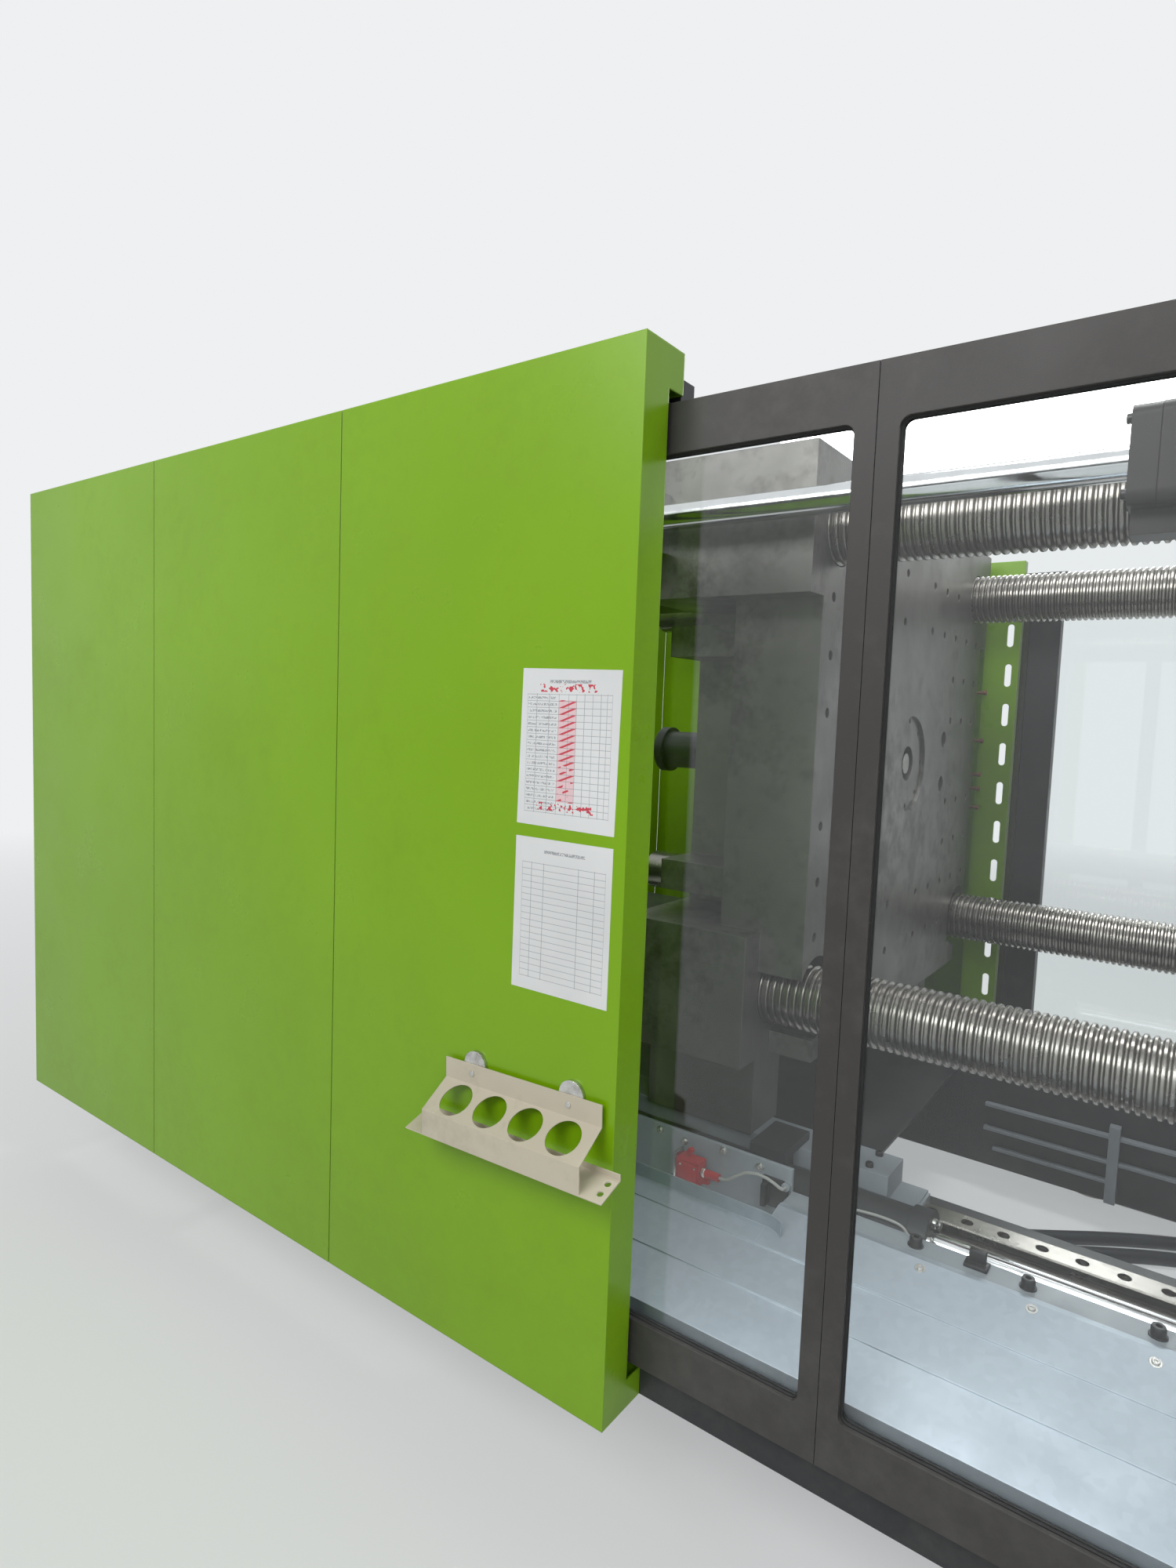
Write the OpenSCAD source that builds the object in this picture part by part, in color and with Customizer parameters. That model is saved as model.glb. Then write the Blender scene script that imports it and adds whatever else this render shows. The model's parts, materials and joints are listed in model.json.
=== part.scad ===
// Two-platen injection moulding machine, with the mould space open.
// X runs along the machine towards the injection unit, Y across it, Z up from the floor.
// Places along X are counted from the right end of the front covers,
// and places along Y from the outer face of those covers.

/* [Machine] */
// Height of the centre line of the clamp and the barrel
centre_z = 1445; // [1440:1:1460]
// Distance of the machine's centre plane from the front covers
centre_y = 1465; // [1450:1:1480]
// Top face of the bed under the guide rails
bed_top = 417; // [410:1:422]
// Height of the beds' lower edge above the floor
bed_low = 90; // [60:1:120]

/* [Tie bars] */
// Outer diameter of a tie bar
bar_d = 160; // [150:1:168]
// Height between the lower and the upper tie bars
bar_rise = 1115; // [1100:1:1130]
// Distance between the front and the rear tie bars
bar_span = 1290; // [1275:1:1300]
// Left end of the tie bars
bar_left = -1250; // [-1400:10:-1150]
// Length of a tie bar that stands out behind the fixed platen
bar_end = 150; // [140:1:200]
// Pitch of the lock grooves
groove_pitch = 18; // [16:1:20]
// Depth of a lock groove
groove_deep = 7; // [5:0.5:9]
// Width of a groove's mouth
groove_mouth = 10.5; // [8:0.5:12]
// Number of lock grooves on a bar
groove_count = 86; // [70:1:86]
// Distance from the left end of a bar to its first groove
groove_start = 640; // [600:1:680]

/* [Platens] */
// Mould face of the moving platen at rest
move_face = 20; // [10:1:40]
// Thickness of a platen over its bosses
platen_deep = 450; // [440:1:460]
// Thickness of a platen's mould plate
plate_thick = 220; // [180:5:260]
// Width of the mould plate
plate_w = 1460; // [1430:5:1480]
// Half width of the boss around a tie bar
boss_half = 160; // [150:1:165]
// Height of a boss above the axis of its tie bar
boss_up = 170; // [160:1:175]
// Distance that the lower bosses stand back from the mould face
boss_back = 112; // [90:1:130]
// Radius of the hollow that clears a lower tie bar
hollow_r = 105; // [98:1:112]
// Gap between a tie bar and the bore of the moving platen
bar_gap = 3; // [2:0.5:5]
// Mould face of the fixed platen
fixed_face = 1050; // [1046:1:1060]
// Diameter of the recess for the centring ring
ring_d = 280; // [240:5:300]
// Depth of that recess
ring_deep = 10; // [6:1:15]
// Diameter of the ejector bore at the centre
eject_d = 102; // [90:1:110]
// Distance of the outer ejector bores from the platen's inner rib
eject_in = 69; // [64:1:80]
// Height of the outer ejector bores above and below the centre
eject_z = 72; // [60:1:90]
// Diameter of an outer ejector bore
eject_hole_d = 52; // [44:1:56]
// Diameter of a tapped mould hole
tap_d = 24; // [20:1:28]
// Depth of a tapped mould hole
tap_deep = 55; // [40:1:80]
// Spacing of the tapped mould holes
tap_step = 134; // [130:1:138]
// Width of a fixed platen foot
foot_w = 290; // [280:1:300]

/* [Locks] */
// Length of a lock housing
lock_len = 300; // [290:1:320]
// Half width of a lock housing
lock_half_y = 172; // [168:1:176]
// Half height of a lock housing
lock_half_z = 150; // [145:1:155]
// Radial thickness from the axis to the back of a half nut
nut_back = 120; // [114:1:122]
// Half height of a half nut
nut_half_z = 108; // [100:1:112]
// Travel of a half nut
nut_travel = 34; // [32:1:36]
// Number of teeth in a half nut
nut_teeth = 8; // [6:1:8]
// Clearance between a half nut and its bar or housing
nut_gap = 1; // [0.5:0.1:1.5]

/* [Guides and travel cylinders] */
// Width of a guide rail
rail_w = 63; // [55:1:65]
// Height of a guide rail
rail_h = 53; // [48:1:56]
// Pitch of the rail's screw holes
rail_pitch = 75; // [70:1:80]
// Distance of a guide rail from the centre plane
rail_y = 650; // [640:1:660]
// Clearance between a runner and its rail
runner_gap = 0.3; // [0.2:0.1:0.5]
// Height of the carriage beam on the runners
beam_h = 62; // [56:1:70]
// Distance of a lower travel cylinder from the centre plane
low_cyl_y = 768; // [766:1:772]
// Height of a lower travel cylinder
low_cyl_z = 462; // [458:1:466]
// Outer radius of a lower cylinder's tube
low_tube_r = 58; // [54:1:60]
// Bore radius of a lower cylinder
low_bore_r = 40; // [38:1:44]
// Radius of a lower cylinder's rod
low_rod_r = 22; // [18:1:25]
// Radius of the lower cylinder's end flange
low_flange_r = 65; // [62:1:68]
// Right face of that flange at rest
low_flange_x = 356; // [345:1:365]
// Distance of the upper travel cylinder's axis from the side of the platens
up_cyl_side = 70; // [70:1:74]
// Height of the upper travel cylinder
up_cyl_z = 2020; // [2010:1:2030]
// Radius of the upper cylinder's rod
up_rod_r = 30; // [26:1:32]
// Height of the upper cylinder's housing
up_house_h = 168; // [150:1:180]
// Width of the upper cylinder's housing
up_house_w = 138; // [120:1:140]
// Left end of that housing
up_house_x = 622; // [610:1:640]
// Right end of that housing
up_house_end = 1760; // [1750:1:1780]
// Running clearance on the radius of a rod
rod_fit = 0.05; // [0.02:0.01:0.1]

/* [Guards] */
// Lower edge of the covers above the floor
cover_low = 300; // [296:1:304]
// Height of the covers
cover_h = 1870; // [1850:1:1885]
// Left edge of the front covers
cover_left = -2270; // [-2290:1:-2250]
// Thickness of the cover sheets
sheet = 3; // [2:0.5:4]
// Depth of the folded channel at the top and bottom of a cover
channel_deep = 118; // [114:1:118]
// Depth of a cover's side return between the channels
return_deep = 73; // [60:1:78]
// Height of the top channel
channel_top = 70; // [60:1:74]
// Height of the bottom channel
channel_low = 53; // [48:1:56]
// Gap between two covers
seam_gap = 3; // [2:0.5:4]
// Left seam of the front covers
seam_1 = -1526; // [-1540:1:-1510]
// Right seam of the front covers
seam_2 = -760; // [-780:1:-740]
// Outer face of the rear covers
rear_face = 2560; // [2555:1:2580]
// Outer face of the front door
door_y = 85; // [82:1:87]
// Depth of a door frame
door_deep = 40; // [36:1:41]
// Seam between the two door frames
door_seam = 350; // [340:1:360]
// Width of one door frame
door_w = 800; // [780:5:810]
// Lower edge of the doors
door_low = 379; // [376:1:384]
// Height of the doors
door_h = 1701; // [1690:1:1704]
// Width of a door frame's upright
stile = 33; // [30:1:40]
// Height of a door frame's upper and lower bar
cross_bar = 84; // [76:1:92]
// Corner radius of a window
window_r = 16; // [10:1:24]
// Depth of the lip in front of a pane
lip = 13; // [10:1:16]
// Thickness of a pane
pane = 6; // [4:1:8]
// Side of the square guard posts
post = 50; // [40:1:50]

/* [Apron] */
// Front edge of the apron
apron_front = 150; // [148:1:156]
// Height of the apron's front edge
apron_low = 453; // [450:1:458]
// Rear edge of the apron
apron_back = 470; // [464:1:476]
// Slope of the apron
apron_slope = 0.3; // [0.28:0.01:0.31]
// Thickness of the apron's sheet
apron_sheet = 2.5; // [2:0.5:3]
// Height of a seam step on the apron
seam_step = 3; // [2:0.5:4]

/* [Injection unit] */
// Left end of the injection bed
inj_left = 1700; // [1690:1:1740]
// Right end of the injection bed
inj_right = 5600; // [5560:10:5700]
// Width of the injection bed
inj_w = 1130; // [1100:5:1160]
// Top face of the injection bed
inj_top = 880; // [870:1:890]
// Outer radius of the barrel
barrel_r = 125; // [115:1:130]
// Radius of the screw
screw_r = 55; // [50:1:60]
// Clearance of the screw in the barrel, on the radius
screw_gap = 0.08; // [0.05:0.01:0.1]
// Left end of the barrel
barrel_left = 1560; // [1550:1:1580]
// Left face of the feed block
feed_left = 3300; // [3290:1:3320]
// Length of the feed block
feed_len = 500; // [480:5:520]
// Number of heater bands
band_count = 7; // [5:1:7]
// Pitch of the heater bands
band_pitch = 225; // [215:1:230]
// Length of a heater band
band_len = 185; // [160:1:195]
// Radius of an injection cylinder's tube
inj_tube_r = 80; // [75:1:85]
// Distance of an injection cylinder from the centre plane
inj_cyl_y = 300; // [290:1:310]
// Radius of an injection cylinder's rod
inj_rod_r = 35; // [30:1:38]
// Stroke of the screw
inj_stroke = 450; // [400:10:460]
// Width of the hopper's mouth
hopper_w = 640; // [600:5:680]
// Height of the hopper above the feed block
hopper_h = 860; // [820:5:900]

/* [Small parts] */
// Width of a notice sheet
paper_w = 216; // [210:1:220]
// Height of a notice sheet
paper_h = 279; // [275:1:285]
// Length of the can holder
holder_len = 375; // [360:1:385]
// Diameter of a hole in the can holder
holder_hole = 68; // [60:1:72]
// Spacing of the holes in the can holder
holder_step = 86; // [84:1:90]
// Sheet thickness of the can holder
holder_sheet = 2; // [1.5:0.5:3]
// Width of the operator panel
panel_w = 420; // [400:5:460]
// Height of the operator panel
panel_h = 380; // [360:5:400]
// Depth of the operator panel
panel_deep = 90; // [80:1:100]
// Radius of the emergency button
button_r = 20; // [16:1:22]

/* [Hidden] */
wear = 0.3;
arm_out = 120;
panel_back = 46;
button_out = 22;
origin_x = (cover_left + inj_right) / 2;
origin_y = (rear_face - arm_out - panel_back - panel_deep - button_out) / 2;
bar_r = bar_d / 2;
front_bar_y = centre_y - bar_span / 2;
rear_bar_y = centre_y + bar_span / 2;
low_bar_z = centre_z - bar_rise / 2;
high_bar_z = centre_z + bar_rise / 2;
bar_ys = [front_bar_y, rear_bar_y];
move_back = move_face - platen_deep;
platen_top = high_bar_z + boss_up;
platen_low = low_bar_z - boss_half;
fixed_back = fixed_face + platen_deep - 20;
bar_len = fixed_back + bar_end - bar_left;
platen_rib = 80;
eject_y = bar_span / 2 - boss_half - platen_rib - eject_in;
up_cyl_y = front_bar_y - boss_half - up_cyl_side;
cover_top = cover_low + cover_h;
door_top = door_low + door_h;
door_left = door_seam - door_w;
door_right = door_seam + door_w;
rail_top = bed_top + rail_h;
runner_low = bed_top + 6;
beam_low = rail_top + 8;
beam_top = beam_low + beam_h;
beam_left = -700;
beam_right = 240;
runner_w = 114;
runner_len = 200;
frame_y = channel_deep;
post_y = 160;
rear_post_y = 2350;
post_low = cover_low - 60;
guard_left = cover_left + 25 + wear;
track_in = frame_y + 16;
track_wide = 8;
shoe_deep = 25;
rear_door_y = rear_face - door_y;
rear_door_left = 110;
rear_door_w = 1010;
bed_left = cover_left + 40;
bed_right = inj_left;
bed_step = 32;
travel_back = 20 * groove_pitch;
bed_in = 485;
bed_out = 825;
cross_w = 50;
cross_xs = [bed_left, -1550, -560, 1170, bed_right - cross_w - 10];
drop_left = 100;
drop_right = fixed_face - 50;
ledge_zs = [159, 222, 303];
feed_x = feed_left + 180;
feed_top = centre_z + 200;
carriage_low = inj_top + 80;
carriage_deck = carriage_low + 100;
cross_left = feed_left + feed_len + 600;
panel_x = 1450;
panel_z = 1700;
cabinet_left = 2300;
cabinet_right = 4300;
cabinet_near = centre_y + inj_w / 2;
cabinet_top = 1900;
cabinet_door_w = 900;
cabinet_door_low = 160;
hinge_x = cabinet_left + 42;
hinge_y = rear_face - 19;
hinge_r = 8;
tilt_holder = 1.9;
paper_thick = 0.4;
cable_r = 3.5;
hose_r = 20;
fitting_r = 28;
fitting_len = 32;
hose_near_points = [[-120, 1012, 230], [-120, 1040, 230], [-110, 1085, 190], [-90, 1135, 125],
    [-55, 1190, 60],
    [-5, 1250, 24], [60, 1315, 21], [180, 1420, 21], [320, 1545, 21], [460, 1655, 21], [600, 1755, 21],
    [760, 1855, 21], [900, 1900, 21], [1060, 1910, 21], [1220, 1880, 21], [1340, 1825, 22], [1430, 1780, 48],
    [1510, 1750, 110], [1570, 1730, 180], [1620, 1722, 235], [1650, 1720, 250], [1668, 1720, 250]];
hose_far_points = [[-350, 1012, 230], [-350, 1040, 230], [-342, 1085, 190], [-325, 1135, 125],
    [-295, 1190, 60],
    [-245, 1245, 24], [-170, 1305, 21], [-20, 1410, 21], [200, 1565, 21], [410, 1715, 21], [600, 1857, 21],
    [756, 1955, 21], [900, 2020, 21], [1060, 2040, 21], [1200, 2020, 21], [1320, 1965, 22], [1420, 1910, 48],
    [1500, 1875, 110], [1565, 1852, 180], [1620, 1842, 235], [1650, 1840, 250], [1668, 1840, 250]];
cable_points = [[-52, 505, 540], [-42, 505, 540], [-31, 505, 544], [-14, 506, 557], [8, 508, 572],
    [36, 509, 579], [60, 509, 577], [77, 510, 571], [88, 511, 565], [94, 514, 562], [95, 519, 562],
    [95, 525, 562]];
cable_start = cable_points[0];
cable_end = cable_points[len(cable_points) - 1];
switch_x = -123;
apron_left = -500;
recess_right = 105;
rail_rise = 51;
web_back = 545;
web_t = 8;
green = [0.49, 0.71, 0.09];
dark = [0.24, 0.23, 0.22];
steel = [0.62, 0.62, 0.6];
grey_blue = [0.5, 0.54, 0.57];
anthracite = [0.17, 0.19, 0.2];

// The frame's own origin, at floor level
module place() {
    translate([-origin_x, -origin_y, 0]) children();
}

// A section drawn in Y and Z, run along X
module run_x(x0, len) {
    translate([x0, 0, 0]) rotate([90, 0, 90]) linear_extrude(len) children();
}

// An outline drawn in X and Z, thick along Y
module run_y(y0, len) {
    translate([0, y0 + len, 0]) rotate([90, 0, 0]) linear_extrude(len) children();
}

// A cylinder along X
module rod_x(x0, x1, y, z, r) {
    translate([x0, y, z]) rotate([0, 90, 0]) cylinder(h = x1 - x0, r = r, $fn = 64);
}

// A cylinder along Y
module rod_y(y0, y1, x, z, r) {
    translate([x, y1, z]) rotate([90, 0, 0]) cylinder(h = y1 - y0, r = r, $fn = 48);
}

// A box from one corner to the other
module block(from, to) {
    translate(from) cube(to - from);
}

// A rectangle with round corners, from one corner to the other
module round_rect(from, to, r) {
    translate([from[0] + r, from[1]]) square([to[0] - from[0] - 2 * r, to[1] - from[1]]);
    translate([from[0], from[1] + r]) square([to[0] - from[0], to[1] - from[1] - 2 * r]);
    for (x = [from[0] + r, to[0] - r], y = [from[1] + r, to[1] - r])
        translate([x, y]) circle(r = r, $fn = 32);
}

// The four tie bar axes as [y, z, is lower]
bar_axes = [for (y = bar_ys, z = [low_bar_z, high_bar_z]) [y, z, z < centre_z]];

// Half of a tie bar's section with its grooves, grown all round by grow
module bar_section(grow) {
    flank = groove_mouth * 0.36;
    r = bar_r + grow;
    root = r - groove_deep;
    round_off = 1.2;
    polygon(concat(
        [[0, 0], [r, 0]],
        [for (i = [0:groove_count - 1])
            let (a = groove_start + i * groove_pitch + grow * 0.6)
            let (b = a + groove_mouth - grow * 1.2)
            each [[r, a - round_off], [r - round_off * 0.6, a], [root, a + flank],
                [root, b - flank], [r - round_off * 0.6, b], [r, b + round_off]]],
        [[r, bar_len], [0, bar_len]]));
}

// The four tie bars with their annular lock grooves
module tie_bars() {
    color(steel) for (a = bar_axes) translate([bar_left, a[0], a[1]]) rotate([0, 90, 0])
        rotate_extrude($fn = 48) bar_section(0);
}

// Nuts that hold the tie bars behind the fixed platen
module tie_bar_nuts() {
    nut_len = bar_end - 30;
    color(anthracite) for (a = bar_axes) difference() {
        rod_x(fixed_back, fixed_back + nut_len, a[0], a[1], bar_r + 48);
        rod_x(fixed_back - 1, fixed_back + nut_len + 1, a[0], a[1], bar_r + rod_fit);
        for (i = [0:5]) rotate_about(a[0], a[1], i * 60)
            rod_x(fixed_back + nut_len - 30, fixed_back + nut_len + 1, a[0] + bar_r + 26, a[1], 9);
    }
}

// Turns a shape about an axis along X through y, z
module rotate_about(y, z, angle) {
    translate([0, y, z]) rotate([angle, 0, 0]) translate([0, -y, -z]) children();
}

// Tapped holes of a mould face at face_x, drilled towards dir
module mould_holes(face_x, dir) {
    for (i = [-5:5], j = [-4:4])
        if (i != 0 && j != 0 && (abs(i) > 2 || abs(j) > 2) && (abs(j) < 4 || abs(i) < 4))
            rod_x(min(face_x, face_x + dir * tap_deep) - (dir > 0 ? 1 : 0),
                max(face_x, face_x + dir * tap_deep) + (dir > 0 ? 0 : 1),
                centre_y + i * tap_step, centre_z + j * tap_step, tap_d / 2);
}

// The ejector bores and the centring recess
module ejector_bores(x0, x1) {
    rod_x(x0, x1, centre_y, centre_z, eject_d / 2);
    for (dy = [-eject_y, eject_y], dz = [-eject_z, eject_z])
        rod_x(x0, x1, centre_y + dy, centre_z + dz, eject_hole_d / 2);
}

// The moving platen, with set-back lower bosses and an open ejector pocket at the back
module moving_platen() {
    half = plate_w / 2;
    pocket = 270;
    rib = platen_rib;
    side_rib = bar_span / 2 - boss_half - rib / 2 + 1;
    ring_screw_r = ring_d / 2 - 14;
    color(steel) difference() {
        union() {
            block([move_face - plate_thick, centre_y - half, low_bar_z + hollow_r / 2],
                [move_face, centre_y + half, platen_top]);
            block([move_face - plate_thick, front_bar_y + hollow_r, platen_low],
                [move_face, rear_bar_y - hollow_r, centre_z]);
            for (a = bar_axes) block(
                [move_back, a[0] - boss_half, a[1] - boss_half],
                [move_face - (a[2] ? boss_back : 0), a[0] + boss_half, a[1] + (a[2] ? boss_half : boss_up)]);
            for (s = [-1, 1]) block(
                [move_back, centre_y + s * side_rib - rib / 2, platen_low],
                [move_face - 1, centre_y + s * side_rib + rib / 2, platen_top]);
            for (s = [-1, 1]) block(
                [move_back, front_bar_y, centre_z + s * (pocket + rib / 2) - rib / 2],
                [move_face - 1, rear_bar_y, centre_z + s * (pocket + rib / 2) + rib / 2]);
            for (z = [platen_low, platen_top - rib]) block(
                [move_back, front_bar_y, z], [move_face - 1, rear_bar_y, z + rib]);
            for (s = [-1, 1]) block(
                [move_back + 40, centre_y + s * rail_y - 75, beam_top],
                [move_face - boss_back, centre_y + s * rail_y + 75, platen_low + 10]);
            block([move_back, centre_y - 110, centre_z - pocket - 1],
                [move_back + 28, centre_y + 110, centre_z + pocket + 1]);
        }
        for (a = bar_axes) rod_x(move_back - 1, move_face + 1, a[0], a[1], bar_r + bar_gap);
        for (a = bar_axes) if (a[2])
            rod_x(move_face - boss_back, move_face + 1, a[0], a[1], hollow_r);
        rod_x(move_face - ring_deep, move_face + 1, centre_y, centre_z, ring_d / 2);
        for (i = [0:7]) rotate_about(centre_y, centre_z, i * 45)
            rod_x(move_face - ring_deep - 30, move_face, centre_y + ring_screw_r, centre_z, 7);
        ejector_bores(move_face - plate_thick - 1, move_face + 1);
        rod_x(move_back - 1, move_back + 29, centre_y, centre_z, eject_d / 2);
        mould_holes(move_face, -1);
    }
}

// The fixed platen, with the nozzle opening and the two feet that hold the lower rods
module fixed_platen() {
    half = plate_w / 2;
    rib = 100;
    foot_y = low_cyl_y - foot_w / 2;
    color(steel) difference() {
        union() {
            block([fixed_face, centre_y - half, platen_low],
                [fixed_face + plate_thick, centre_y + half, platen_top]);
            for (a = bar_axes) block(
                [fixed_face, a[0] - boss_half, a[1] - boss_half],
                [fixed_back, a[0] + boss_half, a[1] + (a[2] ? boss_half : boss_up)]);
            for (s = [-1, 1]) block(
                [fixed_face + 1, centre_y + s * 330 - rib / 2, platen_low],
                [fixed_back, centre_y + s * 330 + rib / 2, platen_top]);
            for (s = [-1, 1]) block(
                [fixed_face + 1, front_bar_y, centre_z + s * 330 - rib / 2],
                [fixed_back, rear_bar_y, centre_z + s * 330 + rib / 2]);
            for (s = [-1, 1]) block(
                [fixed_face, centre_y + s * foot_y - foot_w / 2, bed_top],
                [fixed_back, centre_y + s * foot_y + foot_w / 2, platen_low + 1]);
            for (s = [-1, 1]) rod_x(fixed_face + 150, fixed_face + 330,
                centre_y + s * low_cyl_y, low_cyl_z, low_tube_r - 14);
            for (s = [-1, 1]) block(
                [fixed_face + 150, centre_y + s * (low_cyl_y - 32) - 30, low_cyl_z],
                [fixed_face + 330, centre_y + s * (low_cyl_y - 32) + 30, platen_low + 1]);
        }
        for (a = bar_axes) rod_x(fixed_face - 1, fixed_back + 1, a[0], a[1], bar_r + rod_fit);
        translate([fixed_face - 1, centre_y, centre_z]) rotate([0, 90, 0])
            cylinder(h = platen_deep, r1 = 80, r2 = 230, $fn = 64);
        rod_x(fixed_face - 1, fixed_face + ring_deep, centre_y, centre_z, ring_d / 2 - 15);
        mould_holes(fixed_face, 1);
        for (s = [-1, 1]) rod_x(fixed_face - 1, fixed_face + 320,
            centre_y + s * low_cyl_y, low_cyl_z, low_rod_r + rod_fit);
    }
}

// Housings behind the moving platen in which the half nuts slide
module lock_housings() {
    wall = (lock_len - nut_teeth * groove_pitch) / 2 - wear;
    color(anthracite) for (a = bar_axes) difference() {
        block([move_back - lock_len, a[0] - lock_half_y, a[1] - lock_half_z],
            [move_back, a[0] + lock_half_y, a[1] + lock_half_z]);
        rod_x(move_back - lock_len - 1, move_back + 1, a[0], a[1], bar_r + bar_gap);
        block([move_back - lock_len + wall, a[0] - nut_back - nut_travel - 2, a[1] - nut_half_z - nut_gap],
            [move_back - wall, a[0] + nut_back + nut_travel + 2, a[1] + nut_half_z + nut_gap]);
    }
}

// One half nut on the near or far side of its bar, drawn open
module half_nuts(side) {
    nut_len = nut_teeth * groove_pitch;
    mid = move_back - lock_len / 2;
    color(grey_blue) for (a = bar_axes) translate([0, side * nut_travel, 0]) difference() {
        block([mid - nut_len / 2, side < 0 ? a[0] - nut_back : a[0] + 2, a[1] - nut_half_z],
            [mid + nut_len / 2, side < 0 ? a[0] - 2 : a[0] + nut_back, a[1] + nut_half_z]);
        translate([bar_left, a[0], a[1]]) rotate([0, 90, 0])
            rotate_extrude($fn = 48) bar_section(nut_gap);
    }
}

// Ejector plate with its rods, drawn back
module ejector() {
    plate_x = move_back + 32;
    color(steel) {
        block([plate_x, centre_y - eject_y - 44, centre_z - eject_z - 38],
            [plate_x + 36, centre_y + eject_y + 44, centre_z + eject_z + 38]);
        rod_x(move_back - 330, move_face - 14, centre_y, centre_z, 30);
        for (dy = [-eject_y, eject_y], dz = [-eject_z, eject_z])
            rod_x(plate_x + 35, move_face - 14, centre_y + dy, centre_z + dz, 20);
    }
}

// Cylinder that drives the ejector
module ejector_cylinder() {
    color(anthracite) difference() {
        union() {
            rod_x(move_back - 400, move_back, centre_y, centre_z, 62);
            rod_x(move_back - 30, move_back, centre_y, centre_z, 95);
            rod_x(move_back - 400, move_back - 370, centre_y, centre_z, 76);
        }
        rod_x(move_back - 360, move_back + 1, centre_y, centre_z, 30 + rod_fit);
    }
}

// One side beam of the clamp bed, as a section across the machine
module bed_section() {
    polygon([[centre_y - bed_out, bed_low], [centre_y - bed_in, bed_low], [centre_y - bed_in, bed_top],
        [centre_y - rail_y - runner_w / 2 + 8, bed_top],
        [centre_y - rail_y - runner_w / 2 + 8, bed_top - bed_step],
        [centre_y - bed_out, bed_top - bed_step]]);
}

// Bed under the clamp: two side beams, cross members and a deck with the drop opening
module clamp_bed() {
    deck_z = bed_top - 30;
    color(anthracite) {
        run_x(bed_left, bed_right - bed_left) bed_section();
        run_x(bed_left, bed_right - bed_left)
            translate([2 * centre_y, 0]) mirror([1, 0]) bed_section();
        for (x = cross_xs) block([x, centre_y - bed_in - 1, bed_low],
            [x + cross_w, centre_y + bed_in + 1, bed_low + 100]);
        for (x = [[-1300, drop_left], [drop_right, fixed_face + 200]])
            block([x[0], centre_y - bed_in - 1, deck_z], [x[1], centre_y + bed_in + 1, deck_z + 8]);
        for (p = [hose_near_points[0], hose_far_points[0]])
            rod_y(centre_y - bed_in - 1, p[1], p[0], p[2], fitting_r);
    }
}

// Slim ledges and their upright on the inner side of the rear bed beam
module bed_ledges() {
    y1 = centre_y + bed_in;
    upright_x = 562;
    color(grey_blue) {
        for (z = ledge_zs) {
            block([z == ledge_zs[0] ? 232 : 200, y1 - 22, z - 5], [upright_x + 1, y1, z + 5]);
            if (z != ledge_zs[0]) block([upright_x + 29, y1 - 22, z - 5], [drop_right, y1, z + 5]);
        }
        block([upright_x, y1 - 30, bed_low + 6], [upright_x + 30, y1, ledge_zs[2] + 38]);
    }
}

// A hose that lies on the floor between its fittings
module hose(points) {
    color([0.2, 0.22, 0.26]) tube(points, hose_r, 10);
}

// One guide rail with a waist and counterbored screw holes
module guide_rail(y) {
    x0 = -1180;
    x1 = fixed_face - 10;
    half = rail_w / 2;
    difference() {
        run_x(x0, x1 - x0) polygon([
            [y - half, bed_top], [y + half, bed_top], [y + half, bed_top + 20],
                [y + half - 10, bed_top + 27],
            [y + half - 10, bed_top + 32], [y + half, bed_top + 39], [y + half, rail_top - 3],
            [y + half - 3, rail_top], [y - half + 3, rail_top], [y - half, rail_top - 3],
            [y - half, bed_top + 39], [y - half + 10, bed_top + 32], [y - half + 10, bed_top + 27],
            [y - half, bed_top + 20]]);
        for (x = [x1 - 40:-rail_pitch:x0 + 20]) {
            translate([x, y, rail_top - 22]) cylinder(h = 23, r = 13, $fn = 32);
            translate([x, y, bed_top - 1]) cylinder(h = rail_h, r = 8.5, $fn = 24);
        }
    }
}

module guide_rails() {
    color(steel) for (s = [-1, 1]) guide_rail(centre_y + s * rail_y);
}

// Beams with their runner blocks that carry the moving platen along the rails
module platen_carriages() {
    half = rail_w / 2 + runner_gap;
    color(grey_blue) for (s = [-1, 1]) {
        y = centre_y + s * rail_y;
        difference() {
            union() {
                block([beam_left, y - 55, beam_low], [beam_right, y + 55, beam_top]);
                for (x = [beam_left, -330, beam_right + 60 - runner_len])
                    block([x, y - runner_w / 2, runner_low],
                        [x + runner_len, y + runner_w / 2, beam_low + 6]);
                block([beam_right + 59, y - runner_w / 2 + 4, runner_low + 2],
                    [beam_right + 66, y + runner_w / 2 - 4, beam_low + 2]);
            }
            block([beam_left - 1, y - half, runner_low - 1],
                [beam_right + 67, y + half, rail_top + runner_gap]);
        }
        for (x = [beam_left, -330, beam_right + 60 - runner_len], t = [-1, 1])
            block([x, min(y + t * (half - 8), y + t * (half + 1)), bed_top + 28],
                [x + runner_len, max(y + t * (half - 8), y + t * (half + 1)), bed_top + 31]);
    }
}

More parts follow.
